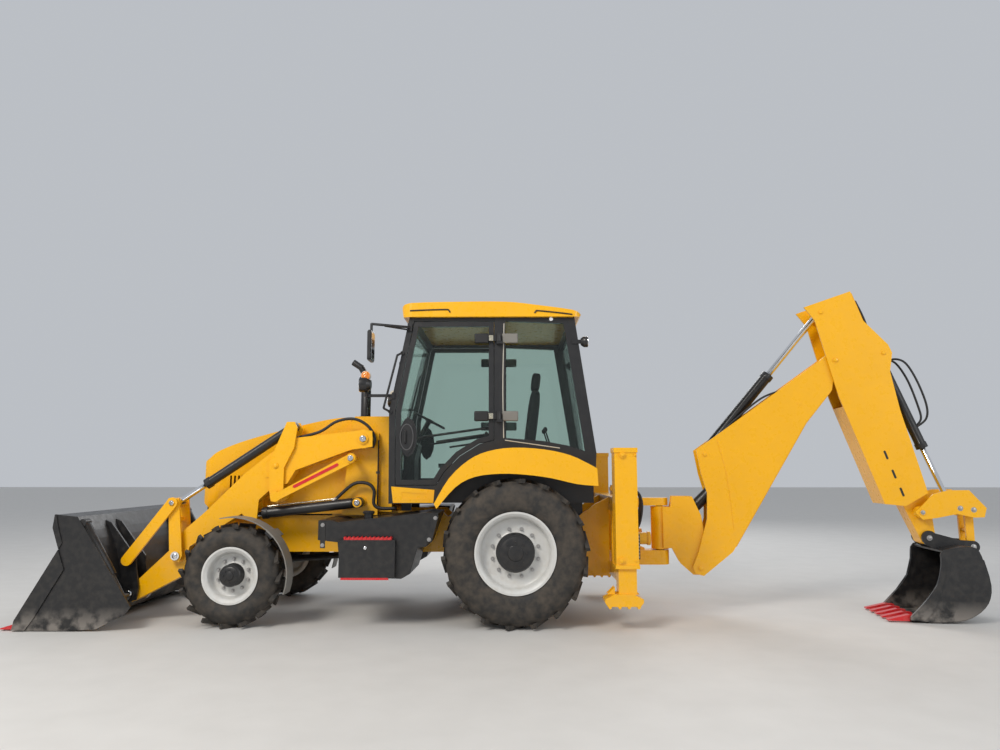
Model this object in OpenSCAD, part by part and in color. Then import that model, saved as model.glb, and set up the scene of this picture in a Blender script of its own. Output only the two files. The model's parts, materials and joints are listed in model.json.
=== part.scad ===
// Backhoe loader, an assembly of named sub-parts in millimetres.
// X runs from the loader bucket (-) to the backhoe (+), Z is up, the ground is Z = 0.
// All points are measured from the rear axle's line on the ground, then moved by x_shift.

/* [Overall] */
// moves the middle of the whole length to X = 0
x_shift = 12; // [-200:1:200]
// distance from the rear axle to the front axle
wheelbase = 2697; // [2000:1:3400]

/* [Wheels] */
// rear tyre radius out to the lug tips
rear_r = 700; // [500:1:900]
// rear tyre width
rear_w = 430; // [250:1:600]
// outer face of the rear tyres, from the centre plane
rear_face = 1120; // [800:1:1400]
// rear rim radius
rear_rim_r = 380; // [250:1:450]
// front tyre radius out to the lug tips
front_r = 485; // [350:1:650]
// front tyre width
front_w = 315; // [200:1:450]
// outer face of the front tyres, from the centre plane
front_face = 1070; // [800:1:1300]
// front rim radius
front_rim_r = 262; // [150:1:350]
// lugs along each half of a rear tyre
rear_lugs = 18; // [8:1:30]
// lugs along each half of a front tyre
front_lugs = 16; // [8:1:30]
// height of the lugs above the tread
lug_h = 32; // [10:1:60]
// distance of the steering axis from the centre plane
steer_y = 800; // [650:1:860]
// teeth on each step
step_teeth = 12; // [4:1:20]
// outer radius of the front fenders
fender_r = 550; // [500:1:650]

/* [Loader] */
// inner face of the loader arms
arm_in = 560; // [400:1:700]
// outer face of the loader arms
arm_out = 710; // [500:1:900]
// half width of the loader bucket
bucket_half = 1170; // [900:1:1400]
// radius of the pins
pin_r = 28; // [15:1:50]
// teeth on the loader bucket
loader_teeth_n = 8; // [4:1:12]

/* [Backhoe] */
// X of the swing axis
king_x = 1565; // [1400:1:1800]
// swing of the backhoe in the rest pose
swing_rest = 7.5; // [-20:0.5:20]
// outer face of the boom plates, from the boom's middle plane
boom_half = 150; // [100:1:220]
// outer face of the dipper plates
dipper_half = 180; // [120:1:260]
// half width of the dipper's nose
nose_half = 100; // [60:1:160]
// half width of the hoe bucket
hoe_half = 375; // [200:1:600]
// teeth on the hoe bucket
hoe_teeth_n = 5; // [3:1:7]

/* [Cab] */
// outer face of the cab's sides
cab_half = 850; // [600:1:1000]
// half width of the hood
hood_half = 445; // [350:1:520]
// gap round a panel that opens
panel_gap = 6; // [4:1:12]
// half width of the grille
grille_half = 330; // [250:1:350]
// slots in the grille
grille_slots = 10; // [4:1:12]
// louvres in each side of the hood
louvres = 9; // [3:1:12]

/* [Clearances] */
// running clearance of pins, rods and slides
fit = 0.5; // [0.2:0.1:0.9]
// clearance of a fixed part at its seat
seat = 0.3; // [0.1:0.1:0.9]

/* [Hidden] */

yellow = "#f5b000";
black = "#1c1c1e";
grey = "#8d8f92";
red = "#c8141e";
white = "#e8e8e6";
glass = "#5f8078";

front_x = -wheelbase;
arm_mid = (arm_in + arm_out) / 2;
// the loader's points are drawn for a front axle at this X, and move with it
drawn_front_x = -2697;

function fore_x(x) = x + front_x - drawn_front_x;

function fore(p) = [for (q = p) [fore_x(q[0]), q[1]]];

// loader pins, as [x, z]
arm_pivot = [-1529, 1788];
link_pivot = [-1631, 1593];
lift_pivot = [-1576, 1153];
lever_top = [fore_x(-2257), 1912];
lever_mid = [fore_x(-2393), 1520];
lever_low = [fore_x(-2373), 1216];
front_top = [fore_x(-3387), 1156];
front_low = [fore_x(-3339), 640];
bucket_link_pin = [fore_x(-3805), 600];
bucket_hinge = [fore_x(-3790), 275];
lift_pin = [fore_x(-2620), 1035];

// backhoe pins, as [distance behind the swing axis, z]
boom_foot = [405, 458];
boom_cyl_base = [313, 1025];
boom_cyl_pin = [1474, 2173];
dipper_cyl_base = [484, 1641];
dipper_cyl_pin = [1730, 3140];
boom_tip = [1850, 2627];
bucket_cyl_base = [2330, 2690];
bucket_cyl_pin = [2945, 1096];
crank_pivot = [2590, 1053];
link_top = [3070, 1082];
link_end = [3071, 714];
hoe_hinge = [2664, 795];

king_r = 40;
foot_r = pin_r + 10;
rear_dish = 70;
front_dish = 20;
disc_back = 14;
axle_r = 105;
front_axle_r = 75;
wheel_mid_front = front_face - front_w / 2;
wheel_mid_rear = rear_face - rear_w / 2;
rear_hub = wheel_mid_rear + rear_dish - disc_back - fit;

function len2(a, b) = sqrt(pow(b[0] - a[0], 2) + pow(b[1] - a[1], 2));

function lean(a, b) = atan2(b[0] - a[0], b[1] - a[1]);

// points of a smooth curve through the given points, n steps between two of them
function curve_at(p, i, t) =
    let (
        m = len(p) - 1,
        a = p[max(i - 1, 0)],
        b = p[i],
        c = p[min(i + 1, m)],
        d = p[min(i + 2, m)]
    )
    0.5 * ((2 * b) + (c - a) * t + (2 * a - 5 * b + 4 * c - d) * t * t
        + (3 * b - a - 3 * c + d) * t * t * t);

function curve(p, n) = concat(
    [for (i = [0 : len(p) - 2]) for (k = [0 : n - 1]) curve_at(p, i, k / n)],
    [p[len(p) - 1]]
);

// the same points in the other order
function back(p) = [for (i = [len(p) - 1 : -1 : 0]) p[i]];

// a band between two radii round c, from one angle to another
function arc_band(c, r0, r1, a0, a1, n) = concat(
    [for (k = [0 : n]) c + r1 * [cos(a0 + (a1 - a0) * k / n), sin(a0 + (a1 - a0) * k / n)]],
    [for (k = [n : -1 : 0]) c + r0 * [cos(a0 + (a1 - a0) * k / n), sin(a0 + (a1 - a0) * k / n)]]
);

// the same points moved d away from c
function grown(p, c, d) = [for (q = p) q + d * (q - c) / norm(q - c)];

// a flat outline symmetric about the middle line, from points on its + side
function both_sides(p) = concat(p, [for (i = [len(p) - 1 : -1 : 0]) [p[i][0], -p[i][1]]]);

// one rounded corner, n steps, centre c, from angle a0 to a1
function corner(c, r, a0, a1, n) = [for (k = [0 : n]) c + r * [cos(a0 + (a1 - a0) * k / n), sin(a0 + (a1 - a0) * k / n)]];

module place() {
    translate([x_shift, 0, 0]) children();
}

module hoe_place() {
    translate([x_shift + king_x, 0, 0]) rotate([0, 0, -swing_rest]) children();
}

module pair() {
    children();
    mirror([0, 1, 0]) children();
}

// a plate with an X-Z outline between two values of Y
module slab(y0, y1, pts) {
    translate([0, y1, 0]) rotate([90, 0, 0]) linear_extrude(height = y1 - y0) polygon(pts);
}

// the same for any flat shape
module sheet_xz(y0, y1) {
    translate([0, y1, 0]) rotate([90, 0, 0]) linear_extrude(height = y1 - y0) children();
}

// a round bar between two points in space
module rod(a, b, r) {
    d = b - a;
    translate(a) rotate([0, acos(d[2] / norm(d)), atan2(d[1], d[0])]) cylinder(h = norm(d), r = r);
}

// a cylinder along Y at the point p
module pin(p, y0, y1, r) {
    translate([p[0], y0, p[1]]) rotate([-90, 0, 0]) cylinder(h = y1 - y0, r = r);
}

// a cone along Y round the line through p
module cone(p, y0, y1, r0, r1) {
    translate([p[0], y0, p[1]]) rotate([-90, 0, 0]) cylinder(h = y1 - y0, r1 = r0, r2 = r1);
}

// a column standing on a flat X-Y outline
module stand(z0, z1, pts) {
    translate([0, 0, z0]) linear_extrude(height = z1 - z0) polygon(pts);
}

// a round bar on the line from a to b, from s0 to s1 along it
module bar(a, b, y, s0, s1, r) {
    translate([a[0], y, a[1]]) rotate([0, lean(a, b), 0]) translate([0, 0, s0]) cylinder(h = s1 - s0, r = r);
}

module box(x0, x1, y0, y1, z0, z1) {
    translate([x0, y0, z0]) cube([x1 - x0, y1 - y0, z1 - z0]);
}

module barrel(base, tip, y, size, r, rod_r, eye_r, eye_w) {
    difference() {
        union() {
            pin(base, y - eye_w / 2, y + eye_w / 2, eye_r);
            bar(base, tip, y, eye_r * 0.6, eye_r + 16, eye_w / 2 - 2);
            bar(base, tip, y, eye_r + 15, size, r);
            bar(base, tip, y, size - 55, size, r + 7);
        }
        bar(base, tip, y, eye_r + 30, size + 5, rod_r + fit);
        pin(base, y - eye_w, y + eye_w, pin_r + fit);
    }
}

module piston_rod(base, tip, y, start, rod_r, eye_r, eye_w) {
    bar(base, tip, y, start, len2(base, tip) - eye_r * 0.6, rod_r);
    pin(tip, y - eye_w / 2, y + eye_w / 2, eye_r);
}

// wheel parts, axis on Y through the origin
module tyre(r, w, rim, lugs, side) {
    tread = r - lug_h;
    reach = w * 0.30 * sin(38) + r * 0.028 * cos(38);
    tip = sqrt(r * r - reach * reach);
    rotate([90, 0, 0]) rotate_extrude() polygon([
        [rim, -w / 2 + 40], [rim + 50, -w / 2 + 8], [(rim + tread) / 2, -w / 2], [tread - 60, -w / 2 + 14],
        [tread - 8, -w / 2 + 55], [tread, -w / 2 + 80], [tread, w / 2 - 80], [tread - 8, w / 2 - 55],
        [tread - 60, w / 2 - 14], [(rim + tread) / 2, w / 2], [rim + 50, w / 2 - 8], [rim, w / 2 - 40]
    ]);
    for (i = [0 : lugs - 1]) {
        for (s = [-1, 1]) {
            rotate([0, (i + (s > 0 ? 0.5 : 0)) * 360 / lugs, 0])
                translate([0, s * w * 0.235, tread - 14])
                    rotate([0, 0, s * side * 38])
                        translate([-r * 0.028, -w * 0.30, 0])
                            cube([r * 0.056, w * 0.54, tip - tread + 14]);
        }
    }
}

module rim_disc(r, w, dish, hub_r, hub_out) {
    rotate([90, 0, 0]) difference() {
        rotate_extrude() polygon([
            [0, dish - disc_back], [hub_r, dish - disc_back], [r - 60, dish - 34], [r - 44, -w / 2 + 40],
            [r - 12, -w / 2 + 26], [r + 6, -w / 2 + 26], [r + 6, -w / 2 + 34], [r, -w / 2 + 38],
            [r, -w / 2 + 62], [r - 20, -w / 2 + 76], [r - 20, w / 2 - 76], [r, w / 2 - 62], [r, w / 2 - 38],
            [r + 6, w / 2 - 34], [r + 6, w / 2 - 26], [r - 12, w / 2 - 26], [r - 44, w / 2 - 50],
            [r - 58, dish], [hub_r, dish + 6],
            [hub_r, hub_out - 12], [hub_r - 12, hub_out], [0, hub_out]
        ]);
    }
}

module tyre_at(s, x, y, r, w, rim, lugs) {
    color(black) place() translate([x, s * y, r]) tyre(r, w, rim + seat, lugs, s);
}

module rim_at(s, x, y, r, w, rim, dish, hub_r, hub_out) {
    color(white) place() translate([x, s * y, r]) rotate([0, 0, s < 0 ? 0 : 180])
        rim_disc(rim, w, dish, hub_r, hub_out);
}

module tyre_front_left() { tyre_at(-1, front_x, wheel_mid_front, front_r, front_w, front_rim_r, front_lugs); }
module tyre_front_right() { tyre_at(1, front_x, wheel_mid_front, front_r, front_w, front_rim_r, front_lugs); }
module tyre_rear_left() { tyre_at(-1, 0, wheel_mid_rear, rear_r, rear_w, rear_rim_r, rear_lugs); }
module tyre_rear_right() { tyre_at(1, 0, wheel_mid_rear, rear_r, rear_w, rear_rim_r, rear_lugs); }
module rim_front_left() { rim_at(-1, front_x, wheel_mid_front, front_r, front_w, front_rim_r, front_dish, 105, 125); }
module rim_front_right() { rim_at(1, front_x, wheel_mid_front, front_r, front_w, front_rim_r, front_dish, 105, 125); }
module rim_rear_left() { rim_at(-1, 0, wheel_mid_rear, rear_r, rear_w, rear_rim_r, rear_dish, 180, 160); }
module rim_rear_right() { rim_at(1, 0, wheel_mid_rear, rear_r, rear_w, rear_rim_r, rear_dish, 180, 160); }

module knuckle(s) {
    inner = wheel_mid_front + front_dish - disc_back - fit;
    plate = front_face - front_w - 31;
    c = [front_x, front_r];
    color(black) place() mirror([0, s > 0 ? 0 : 1, 0]) {
        translate([front_x, steer_y, front_r - 75]) difference() {
            cylinder(h = 150, r = 62);
            translate([0, 0, -1]) cylinder(h = 152, r = 25 + fit);
        }
        translate([front_x, steer_y + 45, front_r]) rotate([-90, 0, 0]) cylinder(h = inner - steer_y - 45, r = 78);
        box(front_x + 40, front_x + 170, steer_y - 22, steer_y + 22, front_r - 25, front_r + 25);
        box(front_x + 128, front_x + 170, plate, steer_y + 22, front_r - 25, front_r + 25);
        // fender and its bracket, which passes inside the tyre
        slab(plate, plate + 22, [c + [128, -25], c + [170, -25], c + [388, 365], c + [345, 405], c + [128, 70]]);
        slab(plate, 1062, arc_band(c, fender_r - 38, fender_r - 9, 42, 51, 2));
        slab(860, 1062, arc_band(c, fender_r - 10, fender_r, -18, 102, 14));
    }
}

module knuckle_left() { knuckle(-1); }
module knuckle_right() { knuckle(1); }

module axles() {
    color(black) place() {
        pair() {
            translate([front_x, steer_y, front_r + 81]) cylinder(h = 34, r = 60);
            translate([front_x, steer_y, front_r - 115]) cylinder(h = 34, r = 60);
            translate([front_x, steer_y, front_r - 115]) cylinder(h = 230, r = 25);
            translate([front_x, steer_y, front_r + 110]) cylinder(h = 16, r = 34);
            box(front_x - 55, front_x + 55, steer_y - 150, steer_y - 5, front_r + 81, front_r + 115);
            box(front_x - 55, front_x + 55, steer_y - 150, steer_y - 5, front_r - 115, front_r - 81);
            box(front_x - 60, front_x + 60, steer_y - 190, steer_y - 130, front_r - 115, front_r + 115);
            cone([front_x, front_r], 206, 330, 118, front_axle_r);
            cone([0, rear_r], 215, 334, 200, axle_r);
            cone([0, rear_r], 384, 500, axle_r, 175);
            pin([0, rear_r], 500, 640, 175);
            pin([0, rear_r], 640, 662, 150);
        }
        pin([front_x, front_r], 140 - steer_y, steer_y - 140, front_axle_r);
        pin([front_x, front_r], -151, 151, 150);
        // steering cylinder behind the front axle
        pin([front_x + 175, front_r + 10], -190, 190, 38);
        pin([front_x + 175, front_r + 10], -430, 430, 19);
        box(front_x + 60, front_x + 150, -40, 40, front_r - 30, front_r + 40);
        pin([0, rear_r], -rear_hub, rear_hub, axle_r);
        pin([0, rear_r], -216, 216, 215);
        translate([-260, 0, rear_r - 10]) rotate([0, 90, 0]) cylinder(h = 200, r = 92);
        // drive shaft to the front axle
        rod([-250, 0, rear_r - 10], [front_x + 130, 0, front_r + 30], 34);
    }
}

module chassis_frame() {
    rails = [[-3060, 700], [-3060, 1010], [-1900, 1010], [-1900, 1060], [-760, 1060], [-700, 1000],
        [800, 1000], [930, 900], [930, 620], [600, 560], [-300, 560], [-520, 640], [-2380, 640],
        [-2440, 760], [-2960, 760]];
    color(yellow) place() {
        pair() {
            difference() {
                slab(340, 375, rails);
                pin([0, rear_r], 330, 380, axle_r + seat);
            }
            // loader tower
            slab(495, 545, [[-1400, 1024], [-1400, 1850], [-1460, 1890], [-1600, 1890], [-1640, 1840],
                [-1720, 1600], [-1760, 1024]]);
            slab(374, 545, [[-1420, 1024], [-1420, 1060], [-1740, 1060], [-1740, 1024]]);
            slab(420, 497, [[-1430, 1058], [-1430, 1500], [-1456, 1500], [-1456, 1058]]);
            slab(420, 497, [[-1676, 1058], [-1676, 1500], [-1700, 1500], [-1700, 1058]]);
            pin(arm_pivot, 545, 555, 85);
            pin(lift_pivot, 545, 570, 60);
            pin(arm_pivot, 545, arm_out + 18, pin_r);
            pin(link_pivot, 545, arm_out + 102, pin_r);
            pin(lift_pivot, 570, arm_out + 6, pin_r);
            pin(arm_pivot, arm_out + 5, arm_out + 18, 50);
            pin(link_pivot, arm_out + 95, arm_out + 106, 45);
            pin(lift_pivot, arm_out - 18, arm_out + 6, 45);
        }
        box(-3060, -3000, -340, 340, 700, 1010);
        box(-2900, -2500, -300, 300, 700, 760);
        pair() box(-2900, -2500, 290, 375, 700, 800);
        box(-1900, -1840, -340, 340, 700, 760);
        // cowl ahead of the cab, which carries the exhaust
        difference() {
            slab(-496, 496, [[-1262, 1055], [-1262, 2030], [-1658, 2030], [-1700, 1972], [-1700, 1055]]);
            slab(-484, 484, [[-1250, 1050], [-1250, 2018], [-1652, 2018], [-1690, 1966], [-1690, 1050]]);
        }
        pair() {
            slab(232, 246, [[-1668, 1964], [-1735, 1964], [-1735, 2002], [-1712, 2002], [-1698, 1988], [-1668, 1988]]);
            pin(hood_hinge, 232, 316, 10);
        }
        box(-700, -640, -340, 340, 700, 1000);
        box(820, 930, -340, 340, 620, 900);
        // front axle bracket
        pair() difference() {
            slab(160, 200, [[front_x - 160, 740], [front_x + 160, 740], [front_x + 110, 440], [front_x - 110, 440]]);
            pin([front_x, front_r], 150, 210, front_axle_r + seat);
        }
    }
}

sleeve_x0 = 955;
sleeve_x1 = 1125;
sleeve_y0 = 950;
sleeve_y1 = 1110;

module rear_frame() {
    color(yellow) place() {
        difference() {
            union() {
                pair() box(935, 1145, 930, 1130, 566, 1685);
                pair() box(927, 1153, 922, 1138, 566, 600);
                pair() box(927, 1153, 922, 1138, 1640, 1685);
                pair() pin([1007, 1617], 1120, 1146, 30);
                pair() pin([981, 640], 1120, 1146, 30);
                box(965, 1120, -930, 930, 1070, 1210);
                box(965, 1120, -930, 930, 430, 570);
                pair() box(965, 1120, 560, 640, 570, 1070);
            }
            pair() box(sleeve_x0, sleeve_x1, sleeve_y0, sleeve_y1, 560, 1665);
        }
        pair() slab(375 + seat, 415, [[590, 660], [590, 985], [640, 998], [830, 1130], [965, 1200], [965, 440], [800, 440]]);
    }
}

module engine_block() {
    color(grey) place() {
        box(-2850, -1800, -280, 280, 760 + seat, 1560);
    }
}

hood_hinge = [-1722, 1990];

module grille() {
    color(black) place() {
        difference() {
            union() {
                box(-3225, -3131, -grille_half, grille_half, 1030, 1490);
                box(-3234, -3224, -grille_half + 20, grille_half - 20, 1050, 1470);
            }
            for (i = [0 : grille_slots - 1]) {
                box(-3240, -3206, -grille_half + 34, grille_half - 34, 1064 + i * 40, 1064 + i * 40 + 24);
            }
        }
        box(-3131, -3000, -330, 330, 1010 + seat, 1200);
    }
}

tank = [[-1867, 1002], [-1740, 1002], [-1680, 985], [-850, 1075], [-729, 1069], [-840, 760], [-920, 750],
    [-990, 510], [-1072, 464], [-1640, 481], [-1680, 800], [-1867, 820]];

module side_tanks() {
    color(black) place() {
        pair() {
            slab(375 + seat, 1060, tank);
            box(-1652, -1127, 1060, 1120, 481, 826);
        }
        translate([-1420, -900, 1000]) cylinder(h = 55, r = 45);
    }
}

module step_treads() {
    color(red) place() pair() {
        box(-1608, -1160, 1066, 1120, 826 + seat, 846);
        box(-1630, -1190, 1066, 1120, 461, 481 - seat);
        for (i = [0 : step_teeth - 1]) {
            x = -1600 + i * 430 / (step_teeth - 1);
            slab(1066, 1120, [[x - 12, 845], [x, 858], [x + 12, 845]]);
            slab(1112, 1128, [[x - 10, 847], [x, 856], [x + 10, 847], [x, 830]]);
            slab(1119, 1128, [[x - 32, 462], [x - 20, 476], [x - 8, 462]]);
        }
    }
}

function hood_plan(t) = both_sides([[-3262, 345 - t], [-3238, 385 - t], [-3190, 415 - t], [-3080, hood_half - 12 - t],
    [-2900, hood_half - t], [-1690, hood_half - t]]);

module hood() {
    top = curve([[-1710, 2026], [-1934, 2004], [-2291, 1925], [-2767, 1797], [-3080, 1680], [-3190, 1600]], 4);
    outer = concat(top, [[-3238, 1570], [-3250, 1540], [-3250, 1180], [-3232, 1130], [-3100, 1030], [-2900, 1030],
        [-1780, 1030], [-1710, 1100]]);
    inner = concat(curve([[-1700, 2014], [-1934, 1992], [-2289, 1913], [-2763, 1785], [-3074, 1669],
        [-3180, 1592]], 4), [[-3240, 1552], [-3240, 1000], [-1700, 1000]]);
    color(yellow) place() difference() {
        intersection() {
            slab(-hood_half, hood_half, outer);
            stand(900, 2100, hood_plan(0));
        }
        intersection() {
            slab(-hood_half, hood_half, inner);
            stand(900, 2100, hood_plan(12));
        }
        box(-3270, -3100, -grille_half - 8, grille_half + 8, 1010, 1500);
        pair() {
            for (i = [0 : louvres - 1]) {
                box(-2960 + i * 42, -2940 + i * 42, hood_half - 20, hood_half + 10, 1230, 1420);
            }
            // cut round the hinge's lug
            box(-1745, -1700, 226, 252, 2008, 2040);
        }
    }
    // hinge on the cowl
    color(yellow) place() pair() difference() {
        union() {
            pin(hood_hinge, 250, 300, 16);
            slab(250, 300, [[-1722, 1990], [-1722, 2019], [-1770, 2014], [-1770, 1985]]);
        }
        pin(hood_hinge, 240, 310, 10 + fit);
    }
}

side_out = [[-1062, 3000], [-1251, 2051], [-1240, 1150], [-820, 1150], [-760, 1200], [-620, 1360], [-446, 1530],
    [-265, 1620], [-22, 1655], [281, 1640], [522, 1590], [702, 1500], [790, 1460], [800, 1640], [600, 3000]];
door_axis = [-160, cab_half + 40];
door_hinge_z = [1990, 2770];

door_hole = [[-1015, 2965], [-1190, 2051], [-1180, 1325], [-775, 1325], [-700, 1450], [-545, 1610], [-350, 1730],
    [-205, 1765], [-205, 2965]];
quarter_hole = [[-95, 2965], [490, 2940], [690, 1660], [520, 1715], [281, 1760], [-22, 1785], [-95, 1790]];

module cab_frame() {
    color(black) place() {
        pair() difference() {
            slab(cab_half - 50, cab_half, side_out);
            slab(cab_half - 60, cab_half + 10, door_hole);
            slab(cab_half - 60, cab_half + 10, quarter_hole);
        }
        pair() for (z = door_hinge_z) {
            box(door_axis[0] - 22, door_axis[0] + 40, cab_half - 1, door_axis[1] + 20, z - 45, z - 20);
            translate([door_axis[0], door_axis[1], z - 30]) cylinder(h = 90, r = 12);
        }
        // cross members front and rear
        slab(-cab_half + 50, cab_half - 50, [[-1062, 3000], [-1078, 2920], [-1020, 2920], [-1000, 3000]]);
        slab(-cab_half + 50, cab_half - 50, [[-1240, 1150], [-1250, 1480], [-1200, 1480], [-1200, 1150]]);
        slab(-cab_half + 50, cab_half - 50, [[600, 3000], [612, 2920], [560, 2920], [550, 3000]]);
        slab(-cab_half + 50, cab_half - 50, [[790, 1500], [800, 1640], [740, 1640], [740, 1500]]);
        // mounts on the frame rails
        pair() {
            box(-1180, -1080, 335, 380, 1060 + seat, 1155);
            box(560, 700, 335, 374, 1000 + seat, 1155);
        }
        // floor
        box(-1240, -760, -cab_half + 50, cab_half - 50, 1150, 1190);
        box(-760, 760, -640, 640, 1150, 1190);
        pair() box(-760, 760, 600, 640, 1190, 1500);
        pair() box(-760, 790, 600, cab_half - 50, 1500, 1540);
        box(760, 790, -640, 640, 1150, 1540);
    }
}

module cab_roof() {
    half = cab_half + 50;
    plan = concat(corner([-1142 + 110, -half + 110], 110, 180, 270, 6), corner([669 - 90, -half + 90], 90, 270, 360, 6),
        corner([669 - 90, half - 90], 90, 0, 90, 6), corner([-1142 + 110, half - 110], 110, 90, 180, 6));
    color(yellow) place() intersection() {
        slab(-half, half, concat(curve([[-1142, 3108], [-1042, 3142], [-513, 3154], [-85, 3152], [200, 3122],
            [570, 3070], [669, 3030]], 3), [[645, 3000 + seat], [-1120, 3000 + seat]]));
        stand(2990, 3200, plan);
    }
}

fender_out = curve([[-769, 1160], [-627, 1399], [-446, 1567], [-265, 1651], [-22, 1687], [281, 1669], [522, 1615],
    [702, 1531], [775, 1490]], 3);
fender_in = curve([[-744, 1113], [-566, 1315], [-385, 1411], [-143, 1441], [98, 1432], [339, 1400], [579, 1345],
    [783, 1327]], 3);
fender_sheet = curve([[-757, 1154], [-617, 1389], [-439, 1556], [-262, 1639], [-22, 1675], [279, 1657],
    [518, 1604], [697, 1520], [770, 1478]], 3);

module rear_fenders() {
    color(yellow) place() pair() {
        slab(1098, 1112, concat(fender_out, back(fender_in)));
        slab(cab_half + seat, 1098, concat(fender_out, back(fender_sheet)));
        difference() {
            slab(cab_half + seat, cab_half + 9, [[-1214, 1316], [-790, 1283], [-800, 1158], [-1194, 1158]]);
            slab(cab_half + 4, cab_half + 20, [[-1110, 1262], [-860, 1244], [-864, 1196], [-1104, 1204]]);
        }
    }
}

module cab_glass() {
    color(glass) place() {
        pair() sheet_xz(cab_half - 40, cab_half - 34) offset(delta = -seat) polygon(quarter_hole);
        slab(-cab_half + 50 + seat, cab_half - 50 - seat, [[-1040, 2920 - seat], [-1046, 2920 - seat], [-1232, 2051],
            [-1232, 1480 + seat], [-1226, 1480 + seat], [-1226, 2051]]);
        slab(-cab_half + 50 + seat, cab_half - 50 - seat, [[585, 2920 - seat], [591, 2920 - seat],
            [775, 1640 + seat], [769, 1640 + seat]]);
    }
}

module cab_interior() {
    color(grey) place() {
        // seat on its pedestal
        stand(1190 + seat, 1420, both_sides([[-220, 170], [130, 170]]));
        stand(1420, 1560, both_sides([[-270, 215], [150, 215]]));
        slab(-245, 245, [[-330, 1590], [-318, 1668], [-270, 1690], [150, 1672], [180, 1560], [-300, 1560]]);
        slab(-235, 235, [[110, 1640], [205, 1640], [258, 2060], [262, 2330], [236, 2352], [190, 2330], [150, 2060]]);
        // side consoles
        pair() slab(270, 400, [[-330, 1190 + seat], [-342, 1640], [-320, 1672], [40, 1672], [70, 1640], [70, 1190 + seat]]);
        pair() slab(210, 275, [[-200, 1440], [-200, 1500], [60, 1500], [60, 1440]]);
        // dashboard and steering column
        slab(-190, 190, [[-1196, 1190 + seat], [-1196, 1700], [-1170, 1790], [-1090, 1800], [-1040, 1740], [-1076, 1600],
            [-1076, 1190 + seat]]);
        rod([-1090, 0, 1740], [-944, 0, 2013], 28);
        translate([-940, 0, 2020]) rotate([0, 28, 0]) cylinder(h = 26, r = 46, center = true);
        translate([-940, 0, 2020]) rotate([0, 28, 0]) rotate_extrude() translate([180, 0]) circle(r = 13);
        translate([-940, 0, 2020]) rotate([0, 28, 0]) for (a = [90, 210, 330]) rotate([0, 90, a]) cylinder(h = 178, r = 9);
        // control levers beside and behind the seat
        for (y = [300, 340]) {
            rod([-290, y, 1660], [-320, y, 1880], 8);
            translate([-320, y, 1885]) sphere(r = 20);
        }
        pair() {
            rod([420, 180, 1190 + seat], [420, 180, 1640], 30);
            rod([420, 180, 1640], [330, 180, 1900], 9);
            translate([330, 180, 1905]) sphere(r = 22);
        }
    }
}

module exhaust_stack() {
    color(black) place() {
        translate([-1590, -300, 2030 + seat]) cylinder(h = 12, r = 74);
        translate([-1590, -300, 2040]) cylinder(h = 330, r = 52);
        translate([-1590, -300, 2370]) cylinder(h = 30, r1 = 52, r2 = 34);
        translate([-1590, -300, 2400]) cylinder(h = 82, r = 34);
        // tail turned to the front
        rod([-1590, -300, 2470], [-1650, -300, 2574], 34);
        rod([-1640, -300, 2566], [-1735, -300, 2628], 34);
    }
}

module mirrors_lamps() {
    color(black) place() pair() {
        // mirror on its arm
        box(-1078, -1034, cab_half + seat, cab_half + 16, 2860, 2940);
        rod([-1056, cab_half + 15, 2900], [-1408, 1040, 2900], 13);
        rod([-1056, cab_half + 15, 2872], [-1290, 972, 2892], 8);
        rod([-1408, 1040, 2905], [-1408, 1040, 2810], 13);
        slab(958, 1122, [[-1430, 2540], [-1420, 2525], [-1394, 2530], [-1390, 2545], [-1390, 2810], [-1396, 2828],
            [-1420, 2828], [-1432, 2810]]);
        slab(946, 1134, [[-1424, 2550], [-1396, 2550], [-1396, 2804], [-1424, 2804]]);
        // head lamp on its bracket
        box(-1225, -1195, cab_half + seat, cab_half + 14, 2180, 2240);
        box(-1480, -1200, cab_half + 4, cab_half + 14, 2195, 2225);
        translate([-1480, cab_half + 22, 2200]) cylinder(h = 65, r = 16);
        translate([-1430, cab_half + 30, 2320]) rotate([0, -90, 0]) cylinder(h = 40, r1 = 44, r2 = 76);
        translate([-1470, cab_half + 30, 2320]) rotate([0, -90, 0]) cylinder(h = 70, r = 76);
        rod([-1480, cab_half + 30, 2380], [-1480, cab_half + 30, 2425], 26);
        // grab rail beside the windscreen
        rod([-1128, cab_half + 13, 2640], [-1170, cab_half + 52, 2610], 11);
        rod([-1170, cab_half + 52, 2612], [-1298, cab_half + 52, 2080], 11);
        rod([-1298, cab_half + 52, 2082], [-1240, cab_half + 13, 2050], 11);
        pin([-1126, 2640], cab_half + seat, cab_half + 18, 19);
        pin([-1238, 2050], cab_half + seat, cab_half + 18, 19);
        // rear work lamp
        box(570, 680, cab_half + seat, cab_half + 14, 2730, 2770);
        translate([660, cab_half + 5, 2750]) rotate([0, 90, 0]) cylinder(h = 30, r1 = 34, r2 = 55);
        translate([690, cab_half + 5, 2750]) rotate([0, 90, 0]) cylinder(h = 40, r = 55);
    }
}

lock_panel = [[-1150, 1800], [-1138, 1890], [-1100, 1965], [-1060, 2000], [-1010, 1960], [-978, 1880], [-968, 1800],
    [-978, 1720], [-1010, 1640], [-1060, 1600], [-1100, 1635], [-1138, 1710]];

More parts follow.
